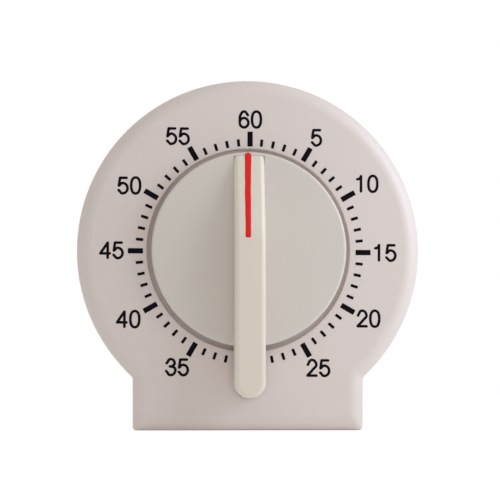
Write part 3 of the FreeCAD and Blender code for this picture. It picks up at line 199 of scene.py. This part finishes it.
def moulded_plastic(name, light, dark, roughness, spread, depth):
    """Moulded ABS: cloudy tone where the melt flowed, and the fine grain of the mould."""
    grain = 0.25 * MM
    mottle_size = 4 * grain
    material, tree = new_material(name)
    place = add_node(tree, "ShaderNodeTexCoord", {}).outputs["Object"]
    flow_size = 16 * MM
    flow = add_node(
        tree,
        "ShaderNodeTexNoise",
        {"Vector": place, "Scale": 1 / flow_size, "Detail": 3.0, "Roughness": 0.55},
    )
    tone = add_node(
        tree,
        "ShaderNodeMix",
        {"Factor": flow.outputs["Fac"], "A": colour(light), "B": colour(dark)},
        data_type="RGBA",
    )
    mottle = add_node(
        tree,
        "ShaderNodeTexNoise",
        {"Vector": place, "Scale": 1 / mottle_size, "Detail": 4.0, "Roughness": 0.6},
    )
    polish = add_node(
        tree,
        "ShaderNodeMapRange",
        {"Value": mottle.outputs["Fac"], "To Min": roughness - spread, "To Max": roughness + spread},
    )
    spark = add_node(
        tree, "ShaderNodeTexNoise", {"Vector": place, "Scale": 1 / grain, "Detail": 2.0}
    )
    relief = add_node(
        tree,
        "ShaderNodeBump",
        {"Height": spark.outputs["Fac"], "Strength": 1.0, "Distance": depth},
    )
    surface = add_node(
        tree,
        "ShaderNodeBsdfPrincipled",
        {
            "Base Color": tone.outputs["Result"],
            "Roughness": polish.outputs["Result"],
            "Normal": relief.outputs["Normal"],
            "IOR": 1.54,
            "Subsurface Weight": SEE_IN,
            "Subsurface Scale": SEE_IN_DEPTH,
            "Subsurface Radius": SEE_IN_BY_COLOUR,
        },
    )
    add_node(tree, "ShaderNodeOutputMaterial", {"Surface": surface.outputs[0]})
    return material


# Satin white ABS with a hint of pink: dull soft reflections and a barely visible spark grain.
case_abs = moulded_plastic("satin_white_abs", "#e6dad4", "#dfd3cc", 0.46, 0.06, 0.002 * MM)
dress(case_abs, "front_case", "back_cover")


# ---- Knob disc ----------------------------------------------------------------------------
# A shallow moulded cup in cooler, slightly greyer ABS, pressed on the flat of the arbor. Its
# skirt runs in the recess of the case.

knob_abs = moulded_plastic("satin_grey_abs", "#dcd4ca", "#d7cfc6", 0.46, 0.05, 0.0015 * MM)
dress(knob_abs, "knob_disc")


# ---- Grip bar -----------------------------------------------------------------------------
# The bar that fingers turn, moulded in ivory ABS and seated in a slot of the disc: a ramp with
# the pointer's groove, a flat top and a long round-ended tail.

grip_abs = moulded_plastic("polished_ivory_abs", "#eae0d1", "#e5dacb", 0.34, 0.02, 0.0004 * MM)
dress(grip_abs, "grip_bar")


# ---- Pointer line -------------------------------------------------------------------------
# Red enamel run by brush into the groove of the ramp and on to the rounded edge of the disc. It
# lies a little low at its sides and swells in the middle.

LINE_LOW_SHIFT, LINE_TOP_SHIFT = -0.42 * MM, -0.20 * MM
LINE_LOW_HALF, LINE_TOP_HALF = 0.53 * MM, 0.64 * MM
LINE_WAVER = 0.035 * MM
WAVER_SHORT, WAVER_LONG = 0.9 * MM, 2.3 * MM
TIP_BLUNT = 0.1
LINE_STEPS, LINE_STRIPS = 128, 6
LINE_EDGE, LINE_SWELL = 0.03 * MM, 0.04 * MM
LINE_DEPTH = 0.10 * MM
LINE_START = 1.9 * MM
LINE_SHORT_OF_DISC = 0.1 * MM
LINE_CORNER = 0.25 * MM
RAMP_START = 2.6 * MM
RAMP_END = 18.7 * MM
RAMP_END_PROUD = 0.3 * MM
CREASE_ROUND = 6.0 * MM
END_STEP = 0.25 * MM
DISC_ROUND = 0.5 * MM

bar_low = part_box("grip_bar")[0]
disc_radius = (knob_high.x - knob_low.x) / 2
ramp_fall = (knob_low.y - RAMP_END_PROUD - bar_low.y) / (RAMP_END - RAMP_START)
ramp_angle = math.atan(ramp_fall)
crease_start = RAMP_START - CREASE_ROUND * math.tan(ramp_angle / 2)
crease_end = crease_start + CREASE_ROUND * math.sin(ramp_angle)


def line_profile(reach):
    """Y of the surface under the line at a height above the dial's axis."""
    if reach < crease_end:
        along = max(0.0, reach - crease_start)
        return bar_low.y + CREASE_ROUND - math.sqrt(CREASE_ROUND**2 - along**2)
    over = max(0.0, reach - (disc_radius - DISC_ROUND))
    disc_face = knob_low.y + DISC_ROUND - math.sqrt(max(0.0, DISC_ROUND**2 - over**2))
    if reach > RAMP_END + END_STEP:
        return disc_face
    ramp_face = bar_low.y + (reach - RAMP_START) * ramp_fall
    past = max(0.0, reach - RAMP_END) / END_STEP
    return ramp_face + (disc_face - ramp_face) * past**2 * (3 - 2 * past)


bpy.ops.mesh.primitive_grid_add(x_subdivisions=LINE_STRIPS, y_subdivisions=LINE_STEPS, size=1)
pointer_line = bpy.context.object
pointer_line.name = "pointer_line"
line_end = disc_radius - LINE_SHORT_OF_DISC
for corner in pointer_line.data.vertices:
    across, along = corner.co.x * 2, corner.co.y + 0.5
    reach = LINE_START + along * (line_end - LINE_START)
    ripple = math.sin(reach / WAVER_SHORT + across) * math.sin(reach / WAVER_LONG)
    waver = LINE_WAVER * ripple
    spread = LINE_LOW_HALF + along * (LINE_TOP_HALF - LINE_LOW_HALF)
    into_top = max(0.0, reach - line_end + spread) / spread
    into_foot = max(0.0, LINE_START + LINE_CORNER - reach) / LINE_CORNER
    rounding = math.sqrt(1 - min(1.0, into_top) ** 2)
    narrowed = spread * ((1 - TIP_BLUNT) * rounding + TIP_BLUNT)
    half_width = narrowed + waver - LINE_CORNER * (1 - math.sqrt(1 - min(1.0, into_foot) ** 2))
    middle = LINE_LOW_SHIFT + along**2 * (LINE_TOP_SHIFT - LINE_LOW_SHIFT)
    swell = LINE_EDGE + (LINE_SWELL - LINE_EDGE) * (1 - across**2)
    corner.co = (
        middle + across * half_width,
        max(bar_low.y, line_profile(reach) - swell),
        axis_height + reach,
    )
bpy.ops.object.mode_set(mode="EDIT")
bpy.ops.mesh.select_all(action="SELECT")
bpy.ops.mesh.normals_make_consistent(inside=False)
bpy.ops.object.mode_set(mode="OBJECT")
if pointer_line.data.polygons[0].normal.y > 0:
    pointer_line.data.flip_normals()
body_of_line = pointer_line.modifiers.new("body", "SOLIDIFY")
body_of_line.thickness = LINE_DEPTH
body_of_line.offset = -1.0
bpy.ops.object.modifier_apply(modifier="body")
bpy.ops.object.shade_smooth()

# Brushed red enamel: satin, a little uneven, with painted shade that darkens the hollows between its
# streaks.
STREAK_WIDTH, STREAK_LENGTH = 0.25 * MM, 2.5 * MM
STREAK_HEIGHT = 0.01 * MM
red_enamel, tree = new_material("red_enamel")
place = add_node(tree, "ShaderNodeTexCoord", {}).outputs["Object"]
streak_place = add_node(
    tree, "ShaderNodeMapping", {"Vector": place, "Scale": (1 / STREAK_WIDTH, 1.0, 1 / STREAK_LENGTH)}
)
streaks = add_node(
    tree, "ShaderNodeTexNoise", {"Vector": streak_place.outputs[0], "Scale": 1.0, "Detail": 3.0}
)
# Painted shade: the red is darker where the streaks' relief is low and lighter where it is high.
film = add_node(
    tree,
    "ShaderNodeMix",
    {"Factor": streaks.outputs["Fac"], "A": colour("#dc1511"), "B": colour("#f2201c")},
    data_type="RGBA",
)
ridges = add_node(
    tree,
    "ShaderNodeBump",
    {"Height": streaks.outputs["Fac"], "Strength": 0.6, "Distance": STREAK_HEIGHT},
)
enamel = add_node(
    tree,
    "ShaderNodeBsdfPrincipled",
    {
        "Base Color": film.outputs["Result"],
        "Roughness": 0.4,
        "Normal": ridges.outputs["Normal"],
        "IOR": 1.5,
        "Specular IOR Level": 0.3,
    },
)
add_node(tree, "ShaderNodeOutputMaterial", {"Surface": enamel.outputs[0]})
pointer_line.data.materials.append(red_enamel)
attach(pointer_line, "dial")
bpy.ops.object.select_all(action="DESELECT")


# ---- Scale marks --------------------------------------------------------------------------
# Sixty minute marks of black ink, every fifth one bold. The whole print sits a hair low and to
# the right of the knob's axis, slightly turned and stretched.

INK_PROUD, INK_SUNK = 0.02 * MM, 0.03 * MM
MINUTES, MINUTES_TO_BOLD = 60, 5
BOLD_FROM, BOLD_TO, BOLD_WIDTH = 21.15 * MM, 24.15 * MM, 1.05 * MM
FINE_FROM, FINE_TO, FINE_WIDTH = 21.25 * MM, 22.7 * MM, 0.58 * MM
MARK_CORNER = 0.1 * MM
PRINT_RIGHT, PRINT_DOWN = 0.2 * MM, 0.34 * MM
PRINT_TURN = math.radians(0.3)
PRINT_WIDER, PRINT_TALLER = 1.011, 1.004

print_place = (
    Matrix.Translation((PRINT_RIGHT, face_level, axis_height - PRINT_DOWN))
    @ Matrix.Rotation(PRINT_TURN, 4, "Y")
    @ Matrix.Diagonal((PRINT_WIDER, 1, PRINT_TALLER, 1))
    @ Matrix.Rotation(math.radians(90), 4, "X")
)


def ink_mark(start, end, width):
    """A flat bar of ink along +Y, with soft corners, face up."""
    bpy.ops.mesh.primitive_plane_add(size=1, location=(0, 0, 0))
    mark = bpy.context.object
    bpy.ops.object.mode_set(mode="EDIT")
    bpy.ops.transform.resize(value=(width, end - start, 1))
    bpy.ops.transform.translate(value=(0, (start + end) / 2, INK_PROUD))
    bpy.ops.mesh.bevel(offset=MARK_CORNER, segments=3, affect="VERTICES")
    bpy.ops.mesh.select_all(action="SELECT")
    bpy.ops.object.mode_set(mode="OBJECT")
    body = mark.modifiers.new("film", "SOLIDIFY")
    body.thickness = INK_PROUD + INK_SUNK
    body.offset = -1.0
    bpy.ops.object.modifier_apply(modifier="film")
    return mark


def join_as(name, pieces):
    """One object from several, with the given name."""
    bpy.ops.object.select_all(action="DESELECT")
    for piece in pieces:
        piece.select_set(True)
    bpy.context.view_layer.objects.active = pieces[0]
    if len(pieces) > 1:
        bpy.ops.object.join()
    joined = bpy.context.object
    joined.name = name
    bpy.ops.object.select_all(action="DESELECT")
    return joined


bold = ink_mark(BOLD_FROM, BOLD_TO, BOLD_WIDTH)
fine = ink_mark(FINE_FROM, FINE_TO, FINE_WIDTH)
marks = []
for minute in range(MINUTES):
    model = fine if minute % MINUTES_TO_BOLD else bold
    mark = model.copy()
    mark.data = model.data.copy()
    bpy.context.scene.collection.objects.link(mark)
    turn = Matrix.Rotation(-2 * math.pi * minute / MINUTES, 4, "Z")
    mark.data.transform(print_place @ turn)
    marks.append(mark)
bpy.data.objects.remove(bold)
bpy.data.objects.remove(fine)
scale_marks = join_as("scale_marks", marks)

# Black pad-printing ink: a thin dull film, a shade bluish, not quite even.
PINHOLE_SIZE = 0.3 * MM
ink, tree = new_material("black_printing_ink")
place = add_node(tree, "ShaderNodeTexCoord", {}).outputs["Object"]
pinholes = add_node(
    tree, "ShaderNodeTexNoise", {"Vector": place, "Scale": 1 / PINHOLE_SIZE, "Detail": 4.0}
)
film = add_node(
    tree,
    "ShaderNodeMix",
    {"Factor": pinholes.outputs["Fac"], "A": colour("#060409"), "B": colour("#0e0a14")},
    data_type="RGBA",
)
dullness = add_node(
    tree,
    "ShaderNodeMapRange",
    {"Value": pinholes.outputs["Fac"], "To Min": 0.45, "To Max": 0.7},
)
print_film = add_node(
    tree,
    "ShaderNodeBsdfPrincipled",
    {
        "Base Color": film.outputs["Result"],
        "Roughness": dullness.outputs["Result"],
        "IOR": 1.45,
        "Specular IOR Level": 0.1,
    },
)
add_node(tree, "ShaderNodeOutputMaterial", {"Surface": print_film.outputs[0]})
scale_marks.data.materials.append(ink)
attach(scale_marks, "root")


# ---- Numerals -----------------------------------------------------------------------------
# The minutes from 5 to 60, printed with the marks in figures drawn with a round pen, upright.
# They stand a little off a true ring.

PEN_WIDTH = 0.54 * MM
FIGURE_PITCH = 2.5 * MM
FIGURE_HEIGHT = 3.46 * MM
RING_RADIUS = 27.1 * MM

# How far each number stands off its place on the ring, in millimetres: right and up
OFF_RING = {
    5: (-0.3, -0.4),
    10: (-0.15, 0.3),
    15: (-0.15, 0.0),
    20: (0.3, 0.3),
    25: (0.25, 0.3),
    30: (0.0, 0.0),
    35: (-0.7, 0.3),
    40: (-0.45, -0.1),
    45: (-0.25, 0.1),
    50: (-0.5, -0.45),
    55: (-0.85, -0.35),
    60: (0.0, -0.5),
}

# Each figure's pen strokes in millimetres, from the middle of its foot: closed or open, points
FIGURES = {
    "0": ((True, ((-0.89, 1.73), (0, 3.34), (0.89, 1.73), (0, 0.12))),),
    "1": (
        (False, ((0.13, 0.2), (0.13, 3.26))),
        (False, ((-0.62, 2.62), (-0.2, 2.72), (0.13, 3.2))),
    ),
    "2": (
        (False, ((-0.86, 2.35), (-0.1, 3.32), (0.84, 2.42), (0.2, 1.45), (-0.9, 0.24))),
        (False, ((-0.9, 0.2), (0.86, 0.2))),
    ),
    "3": (
        (False, ((-0.8, 2.5), (-0.03, 3.33), (0.78, 2.6), (0.3, 1.92), (-0.15, 1.86))),
        (False, ((0.1, 1.86), (0.72, 1.62), (0.93, 1.02), (0, 0.13), (-0.9, 0.95))),
    ),
    "4": (
        (False, ((0.42, 3.2), (-1.0, 1.07))),
        (False, ((-1.0, 1.07), (0.85, 1.07))),
        (False, ((0.45, 0.2), (0.45, 3.2))),
    ),
    "5": (
        (False, ((-0.6, 3.24), (0.7, 3.24))),
        (False, ((-0.6, 3.24), (-0.82, 1.72))),
        (False, ((-0.82, 1.66), (0.0, 2.2), (0.9, 1.17), (0.0, 0.13), (-0.88, 0.78))),
    ),
    "6": (
        (True, ((-0.84, 1.06), (0.02, 2.02), (0.88, 1.08), (0.02, 0.12))),
        (False, ((0.78, 2.62), (0.05, 3.33), (-0.66, 2.68), (-0.84, 1.06))),
    ),
}


def pen_stroke(closed, points):
    """One stroke of the pen as a flattened tube, face up, with its ends drawn in."""
    bpy.ops.curve.primitive_bezier_curve_add(location=(0, 0, 0))
    stroke = bpy.context.object
    line = stroke.data
    line.splines.clear()
    run = line.splines.new("BEZIER")
    run.bezier_points.add(len(points) - 1)
    for knot, (x, y) in zip(run.bezier_points, points):
        knot.co = (x * MM, y * MM, 0)
        knot.handle_left_type = knot.handle_right_type = "AUTO"
    run.use_cyclic_u = closed
    line.resolution_u = 8
    line.bevel_depth = PEN_WIDTH / 2
    line.bevel_resolution = 2
    line.use_fill_caps = True
    bpy.ops.object.convert(target="MESH")
    stroke = bpy.context.object
    ends = [] if closed else [points[0], points[-1]]
    parts = [stroke]
    for x, y in ends:
        bpy.ops.mesh.primitive_uv_sphere_add(
            segments=12, ring_count=8, radius=PEN_WIDTH / 2, location=(x * MM, y * MM, 0)
        )
        parts.append(bpy.context.object)
    whole = join_as("stroke", parts)
    whole.data.transform(whole.matrix_world)
    whole.matrix_world = Matrix.Identity(4)
    whole.data.transform(Matrix.Diagonal((1, 1, INK_PROUD / (PEN_WIDTH / 2), 1)))
    return whole


figure_models = {
    figure: join_as(f"figure_{figure}", [pen_stroke(*stroke) for stroke in strokes])
    for figure, strokes in FIGURES.items()
}
numbers = []
for minute in range(MINUTES_TO_BOLD, MINUTES + 1, MINUTES_TO_BOLD):
    turn = 2 * math.pi * minute / MINUTES
    right, up = OFF_RING[minute]
    middle = Vector(
        (RING_RADIUS * math.sin(turn) + right * MM, RING_RADIUS * math.cos(turn) + up * MM, 0)
    )
    text = str(minute)
    for order, figure in enumerate(text):
        model = figure_models[figure]
        copy = model.copy()
        copy.data = model.data.copy()
        bpy.context.scene.collection.objects.link(copy)
        sideways = (order - (len(text) - 1) / 2) * FIGURE_PITCH
        spot = middle + Vector((sideways, -FIGURE_HEIGHT / 2, 0))
        copy.data.transform(print_place @ Matrix.Translation(spot))
        numbers.append(copy)
for model in figure_models.values():
    bpy.data.objects.remove(model)
numerals = join_as("numerals", numbers)
for face in numerals.data.polygons:
    face.use_smooth = True
numerals.data.materials.append(ink)
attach(numerals, "root")


# ---- Screws -------------------------------------------------------------------------------
# Small steel screws with zinc plating: four in wells of the cover, three under the knob, six
# in the pillars and one through the bell.

ZINC_CLOUD = 1.2 * MM
TURNING_PITCH, TURNING_DEPTH = 0.06 * MM, 0.004 * MM
plated_steel, tree = new_material("zinc_plated_steel")
place = add_node(tree, "ShaderNodeTexCoord", {}).outputs["Object"]
cloud = add_node(
    tree, "ShaderNodeTexNoise", {"Vector": place, "Scale": 1 / ZINC_CLOUD, "Detail": 4.0}
)
tone = add_node(
    tree,
    "ShaderNodeMix",
    {"Factor": cloud.outputs["Fac"], "A": colour("#b9bbbf"), "B": colour("#d6d6d2")},
    data_type="RGBA",
)
turn_place = add_node(
    tree, "ShaderNodeMapping", {"Vector": place, "Scale": (1.0, 1 / TURNING_PITCH, 1.0)}
)
turning = add_node(
    tree, "ShaderNodeTexNoise", {"Vector": turn_place.outputs[0], "Scale": 1.0, "Detail": 2.0}
)
lines = add_node(
    tree,
    "ShaderNodeBump",
    {"Height": turning.outputs["Fac"], "Strength": 0.5, "Distance": TURNING_DEPTH},
)
polish = add_node(
    tree, "ShaderNodeMapRange", {"Value": cloud.outputs["Fac"], "To Min": 0.22, "To Max": 0.4}
)
plating = add_node(
    tree,
    "ShaderNodeBsdfPrincipled",
    {
        "Base Color": tone.outputs["Result"],
        "Metallic": 1.0,
        "Roughness": polish.outputs["Result"],
        "Normal": lines.outputs["Normal"],
    },
)
add_node(tree, "ShaderNodeOutputMaterial", {"Surface": plating.outputs[0]})
dress(plated_steel, "cover_screws", "movement_screws", "pillar_screws", "bell_screw")


# ---- Plates and sheet levers --------------------------------------------------------------
# The two movement plates, the trip lever and the hammer's pallet, blanked from cold-rolled
# steel sheet. The rolling grain runs one way.

GRAIN_LONG, GRAIN_WIDE, GRAIN_FINE = 9 * MM, 0.5 * MM, 0.12 * MM
STEEL_STAIN = 7 * MM
SCRATCH_DEPTH = 0.006 * MM
rolled_steel, tree = new_material("cold_rolled_steel_sheet")
place = add_node(tree, "ShaderNodeTexCoord", {}).outputs["Object"]
grain_place = add_node(
    tree,
    "ShaderNodeMapping",
    {"Vector": place, "Scale": (1 / GRAIN_LONG, 1 / GRAIN_WIDE, 1 / GRAIN_FINE)},
)
grain = add_node(
    tree, "ShaderNodeTexNoise", {"Vector": grain_place.outputs[0], "Scale": 1.0, "Detail": 4.0}
)
stain = add_node(
    tree, "ShaderNodeTexNoise", {"Vector": place, "Scale": 1 / STEEL_STAIN, "Detail": 5.0}
)
tone = add_node(
    tree,
    "ShaderNodeMix",
    {"Factor": stain.outputs["Fac"], "A": colour("#9d9c9a"), "B": colour("#c0beb6")},
    data_type="RGBA",
)
polish = add_node(
    tree, "ShaderNodeMapRange", {"Value": grain.outputs["Fac"], "To Min": 0.26, "To Max": 0.5}
)
scratches = add_node(
    tree,
    "ShaderNodeBump",
    {"Height": grain.outputs["Fac"], "Strength": 0.7, "Distance": SCRATCH_DEPTH},
)
sheet_face = add_node(
    tree,
    "ShaderNodeBsdfPrincipled",
    {
        "Base Color": tone.outputs["Result"],
        "Metallic": 1.0,
        "Roughness": polish.outputs["Result"],
        "Normal": scratches.outputs["Normal"],
    },
)
add_node(tree, "ShaderNodeOutputMaterial", {"Surface": sheet_face.outputs[0]})
dress(rolled_steel, "front_plate", "back_plate", "trip_lever", "hammer_pallet")


# ---- Arbors, pillars and studs ------------------------------------------------------------
# Free-cutting steel, turned between centres, with the fine rings the tool leaves round them.


def turned_metal(name, light, dark, roughness):
    """Metal turned on a lathe about the Y direction, with rings a tenth of a millimetre apart."""
    ring_run, ring_pitch, ring_depth = 20 * MM, 0.1 * MM, 0.008 * MM
    stain_size = 3 * MM
    material, tree = new_material(name)
    place = add_node(tree, "ShaderNodeTexCoord", {}).outputs["Object"]
    ring_place = add_node(
        tree,
        "ShaderNodeMapping",
        {"Vector": place, "Scale": (1 / ring_run, 1 / ring_pitch, 1 / ring_run)},
    )
    rings = add_node(
        tree, "ShaderNodeTexNoise", {"Vector": ring_place.outputs[0], "Scale": 1.0, "Detail": 3.0}
    )
    stain = add_node(
        tree, "ShaderNodeTexNoise", {"Vector": place, "Scale": 1 / stain_size, "Detail": 5.0}
    )
    tone = add_node(
        tree,
        "ShaderNodeMix",
        {"Factor": stain.outputs["Fac"], "A": colour(dark), "B": colour(light)},
        data_type="RGBA",
    )
    polish = add_node(
        tree,
        "ShaderNodeMapRange",
        {"Value": rings.outputs["Fac"], "To Min": roughness - 0.08, "To Max": roughness + 0.12},
    )
    grooves = add_node(
        tree,
        "ShaderNodeBump",
        {"Height": rings.outputs["Fac"], "Strength": 0.8, "Distance": ring_depth},
    )
    surface = add_node(
        tree,
        "ShaderNodeBsdfPrincipled",
        {
            "Base Color": tone.outputs["Result"],
            "Metallic": 1.0,
            "Roughness": polish.outputs["Result"],
            "Normal": grooves.outputs["Normal"],
        },
    )
    add_node(tree, "ShaderNodeOutputMaterial", {"Surface": surface.outputs[0]})
    return material


turned_steel = turned_metal("turned_steel", "#cfcfcd", "#a9a8a6", 0.28)
dress(
    turned_steel,
    "plate_pillars",
    "main_arbor",
    "ratchet_wheel",
    "spring_post",
    "lever_stud",
    "trip_spring_post",
    "bell_post",
    "click",
    "click_studs",
    "second_arbor",
    "third_arbor",
    "escape_arbor",
    "verge_arbor",
    "verge_pallet",
    "hammer_arbor",
)


# ---- Bush, cam, inertia disc and hammer head ----------------------------------------------
# Turned from brass bar: the bearing of the main arbor, the cam that lets the alarm go, and the
# two weights.

turned_brass = turned_metal("turned_brass", "#e2c172", "#b58f45", 0.26)
dress(turned_brass, "main_bush", "alarm_cam", "inertia_disc", "hammer_head")


# ---- Springs ------------------------------------------------------------------------------
# Hardened carbon-steel strip, tempered until a blue-grey skin with straw edges comes up: the
# mainspring, two leaf springs and the springy hammer arm.

TEMPER_CLOUD = 4 * MM
STRIP_GRAIN_LONG, STRIP_GRAIN_FINE = 2 * MM, 0.08 * MM
tempered_steel, tree = new_material("blued_spring_steel")
place = add_node(tree, "ShaderNodeTexCoord", {}).outputs["Object"]
temper = add_node(
    tree, "ShaderNodeTexNoise", {"Vector": place, "Scale": 1 / TEMPER_CLOUD, "Detail": 3.0}
)
skin = add_node(tree, "ShaderNodeValToRGB", {"Fac": temper.outputs["Fac"]})
skin.color_ramp.elements[0].position, skin.color_ramp.elements[1].position = 0.35, 0.7
skin.color_ramp.elements[0].color = colour("#4d5568")
skin.color_ramp.elements[1].color = colour("#8d8272")
skin.color_ramp.elements.new(0.52).color = colour("#5f6372")
strip_place = add_node(
    tree,
    "ShaderNodeMapping",
    {"Vector": place, "Scale": (1 / STRIP_GRAIN_LONG, 1 / STRIP_GRAIN_FINE, 1 / STRIP_GRAIN_LONG)},
)
strip_grain = add_node(
    tree, "ShaderNodeTexNoise", {"Vector": strip_place.outputs[0], "Scale": 1.0, "Detail": 2.0}
)
oiled = add_node(
    tree,
    "ShaderNodeMapRange",
    {"Value": strip_grain.outputs["Fac"], "To Min": 0.2, "To Max": 0.42},
)
temper_skin = add_node(
    tree,
    "ShaderNodeBsdfPrincipled",
    {
        "Base Color": skin.outputs["Color"],
        "Metallic": 1.0,
        "Roughness": oiled.outputs["Result"],
    },
)
add_node(tree, "ShaderNodeOutputMaterial", {"Surface": temper_skin.outputs[0]})
dress(tempered_steel, "mainspring", "trip_spring", "click_spring", "hammer_arm")


# ---- Wheels -------------------------------------------------------------------------------
# Stamped from rolled brass sheet and brushed along X: great, second, third, escape and strike
# wheel.

BRUSH_LONG, BRUSH_WIDE, BRUSH_FINE = 6 * MM, 0.4 * MM, 0.1 * MM
BRUSH_DEPTH = 0.005 * MM
TARNISH_SIZE = 5 * MM
stamped_brass, tree = new_material("stamped_brass_sheet")
place = add_node(tree, "ShaderNodeTexCoord", {}).outputs["Object"]
brush_place = add_node(
    tree,
    "ShaderNodeMapping",
    {"Vector": place, "Scale": (1 / BRUSH_LONG, 1 / BRUSH_WIDE, 1 / BRUSH_FINE)},
)
brushing = add_node(
    tree, "ShaderNodeTexNoise", {"Vector": brush_place.outputs[0], "Scale": 1.0, "Detail": 4.0}
)
tarnish = add_node(
    tree, "ShaderNodeTexNoise", {"Vector": place, "Scale": 1 / TARNISH_SIZE, "Detail": 5.0}
)
tone = add_node(
    tree,
    "ShaderNodeMix",
    {"Factor": tarnish.outputs["Fac"], "A": colour("#b08a3e"), "B": colour("#e0bd6c")},
    data_type="RGBA",
)
polish = add_node(
    tree, "ShaderNodeMapRange", {"Value": brushing.outputs["Fac"], "To Min": 0.22, "To Max": 0.44}
)
brush_lines = add_node(
    tree,
    "ShaderNodeBump",
    {"Height": brushing.outputs["Fac"], "Strength": 0.6, "Distance": BRUSH_DEPTH},
)
brass_face = add_node(
    tree,
    "ShaderNodeBsdfPrincipled",
    {
        "Base Color": tone.outputs["Result"],
        "Metallic": 1.0,
        "Roughness": polish.outputs["Result"],
        "Normal": brush_lines.outputs["Normal"],
    },
)
add_node(tree, "ShaderNodeOutputMaterial", {"Surface": brass_face.outputs[0]})
dress(
    stamped_brass, "great_wheel", "second_wheel", "third_wheel", "escape_wheel", "strike_wheel"
)


# ---- Bell ---------------------------------------------------------------------------------
# A steel cup drawn in a press and nickel plated. The spun polish leaves faint rings round its
# post.

bell_low, bell_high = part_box("bell")
bell_middle = (bell_low + bell_high) / 2
SPIN_PITCH, SPIN_DEPTH = 0.25 * MM, 0.004 * MM
NICKEL_FILM = 9 * MM
nickel, tree = new_material("polished_nickel_plate")
place = add_node(tree, "ShaderNodeTexCoord", {}).outputs["Object"]
centred = add_node(
    tree, "ShaderNodeMapping", {"Vector": place, "Location": -1 * bell_middle, "Scale": (1, 0, 1)}
)
reach = add_node(
    tree, "ShaderNodeVectorMath", {0: centred.outputs[0]}, operation="LENGTH"
)
ring_place = add_node(
    tree,
    "ShaderNodeMath",
    {0: reach.outputs["Value"], 1: 1 / SPIN_PITCH},
    operation="MULTIPLY",
)
spun = add_node(
    tree,
    "ShaderNodeTexNoise",
    {"W": ring_place.outputs[0], "Scale": 1.0, "Detail": 3.0},
    noise_dimensions="1D",
)
film = add_node(
    tree, "ShaderNodeTexNoise", {"Vector": place, "Scale": 1 / NICKEL_FILM, "Detail": 5.0}
)
tone = add_node(
    tree,
    "ShaderNodeMix",
    {"Factor": film.outputs["Fac"], "A": colour("#bdb6aa"), "B": colour("#dcd8cf")},
    data_type="RGBA",
)
polish = add_node(
    tree, "ShaderNodeMapRange", {"Value": spun.outputs["Fac"], "To Min": 0.1, "To Max": 0.24}
)
spin_lines = add_node(
    tree,
    "ShaderNodeBump",
    {"Height": spun.outputs["Fac"], "Strength": 0.5, "Distance": SPIN_DEPTH},
)
plate_face = add_node(
    tree,
    "ShaderNodeBsdfPrincipled",
    {
        "Base Color": tone.outputs["Result"],
        "Metallic": 1.0,
        "Roughness": polish.outputs["Result"],
        "Normal": spin_lines.outputs["Normal"],
    },
)
add_node(tree, "ShaderNodeOutputMaterial", {"Surface": plate_face.outputs[0]})
dress(nickel, "bell")
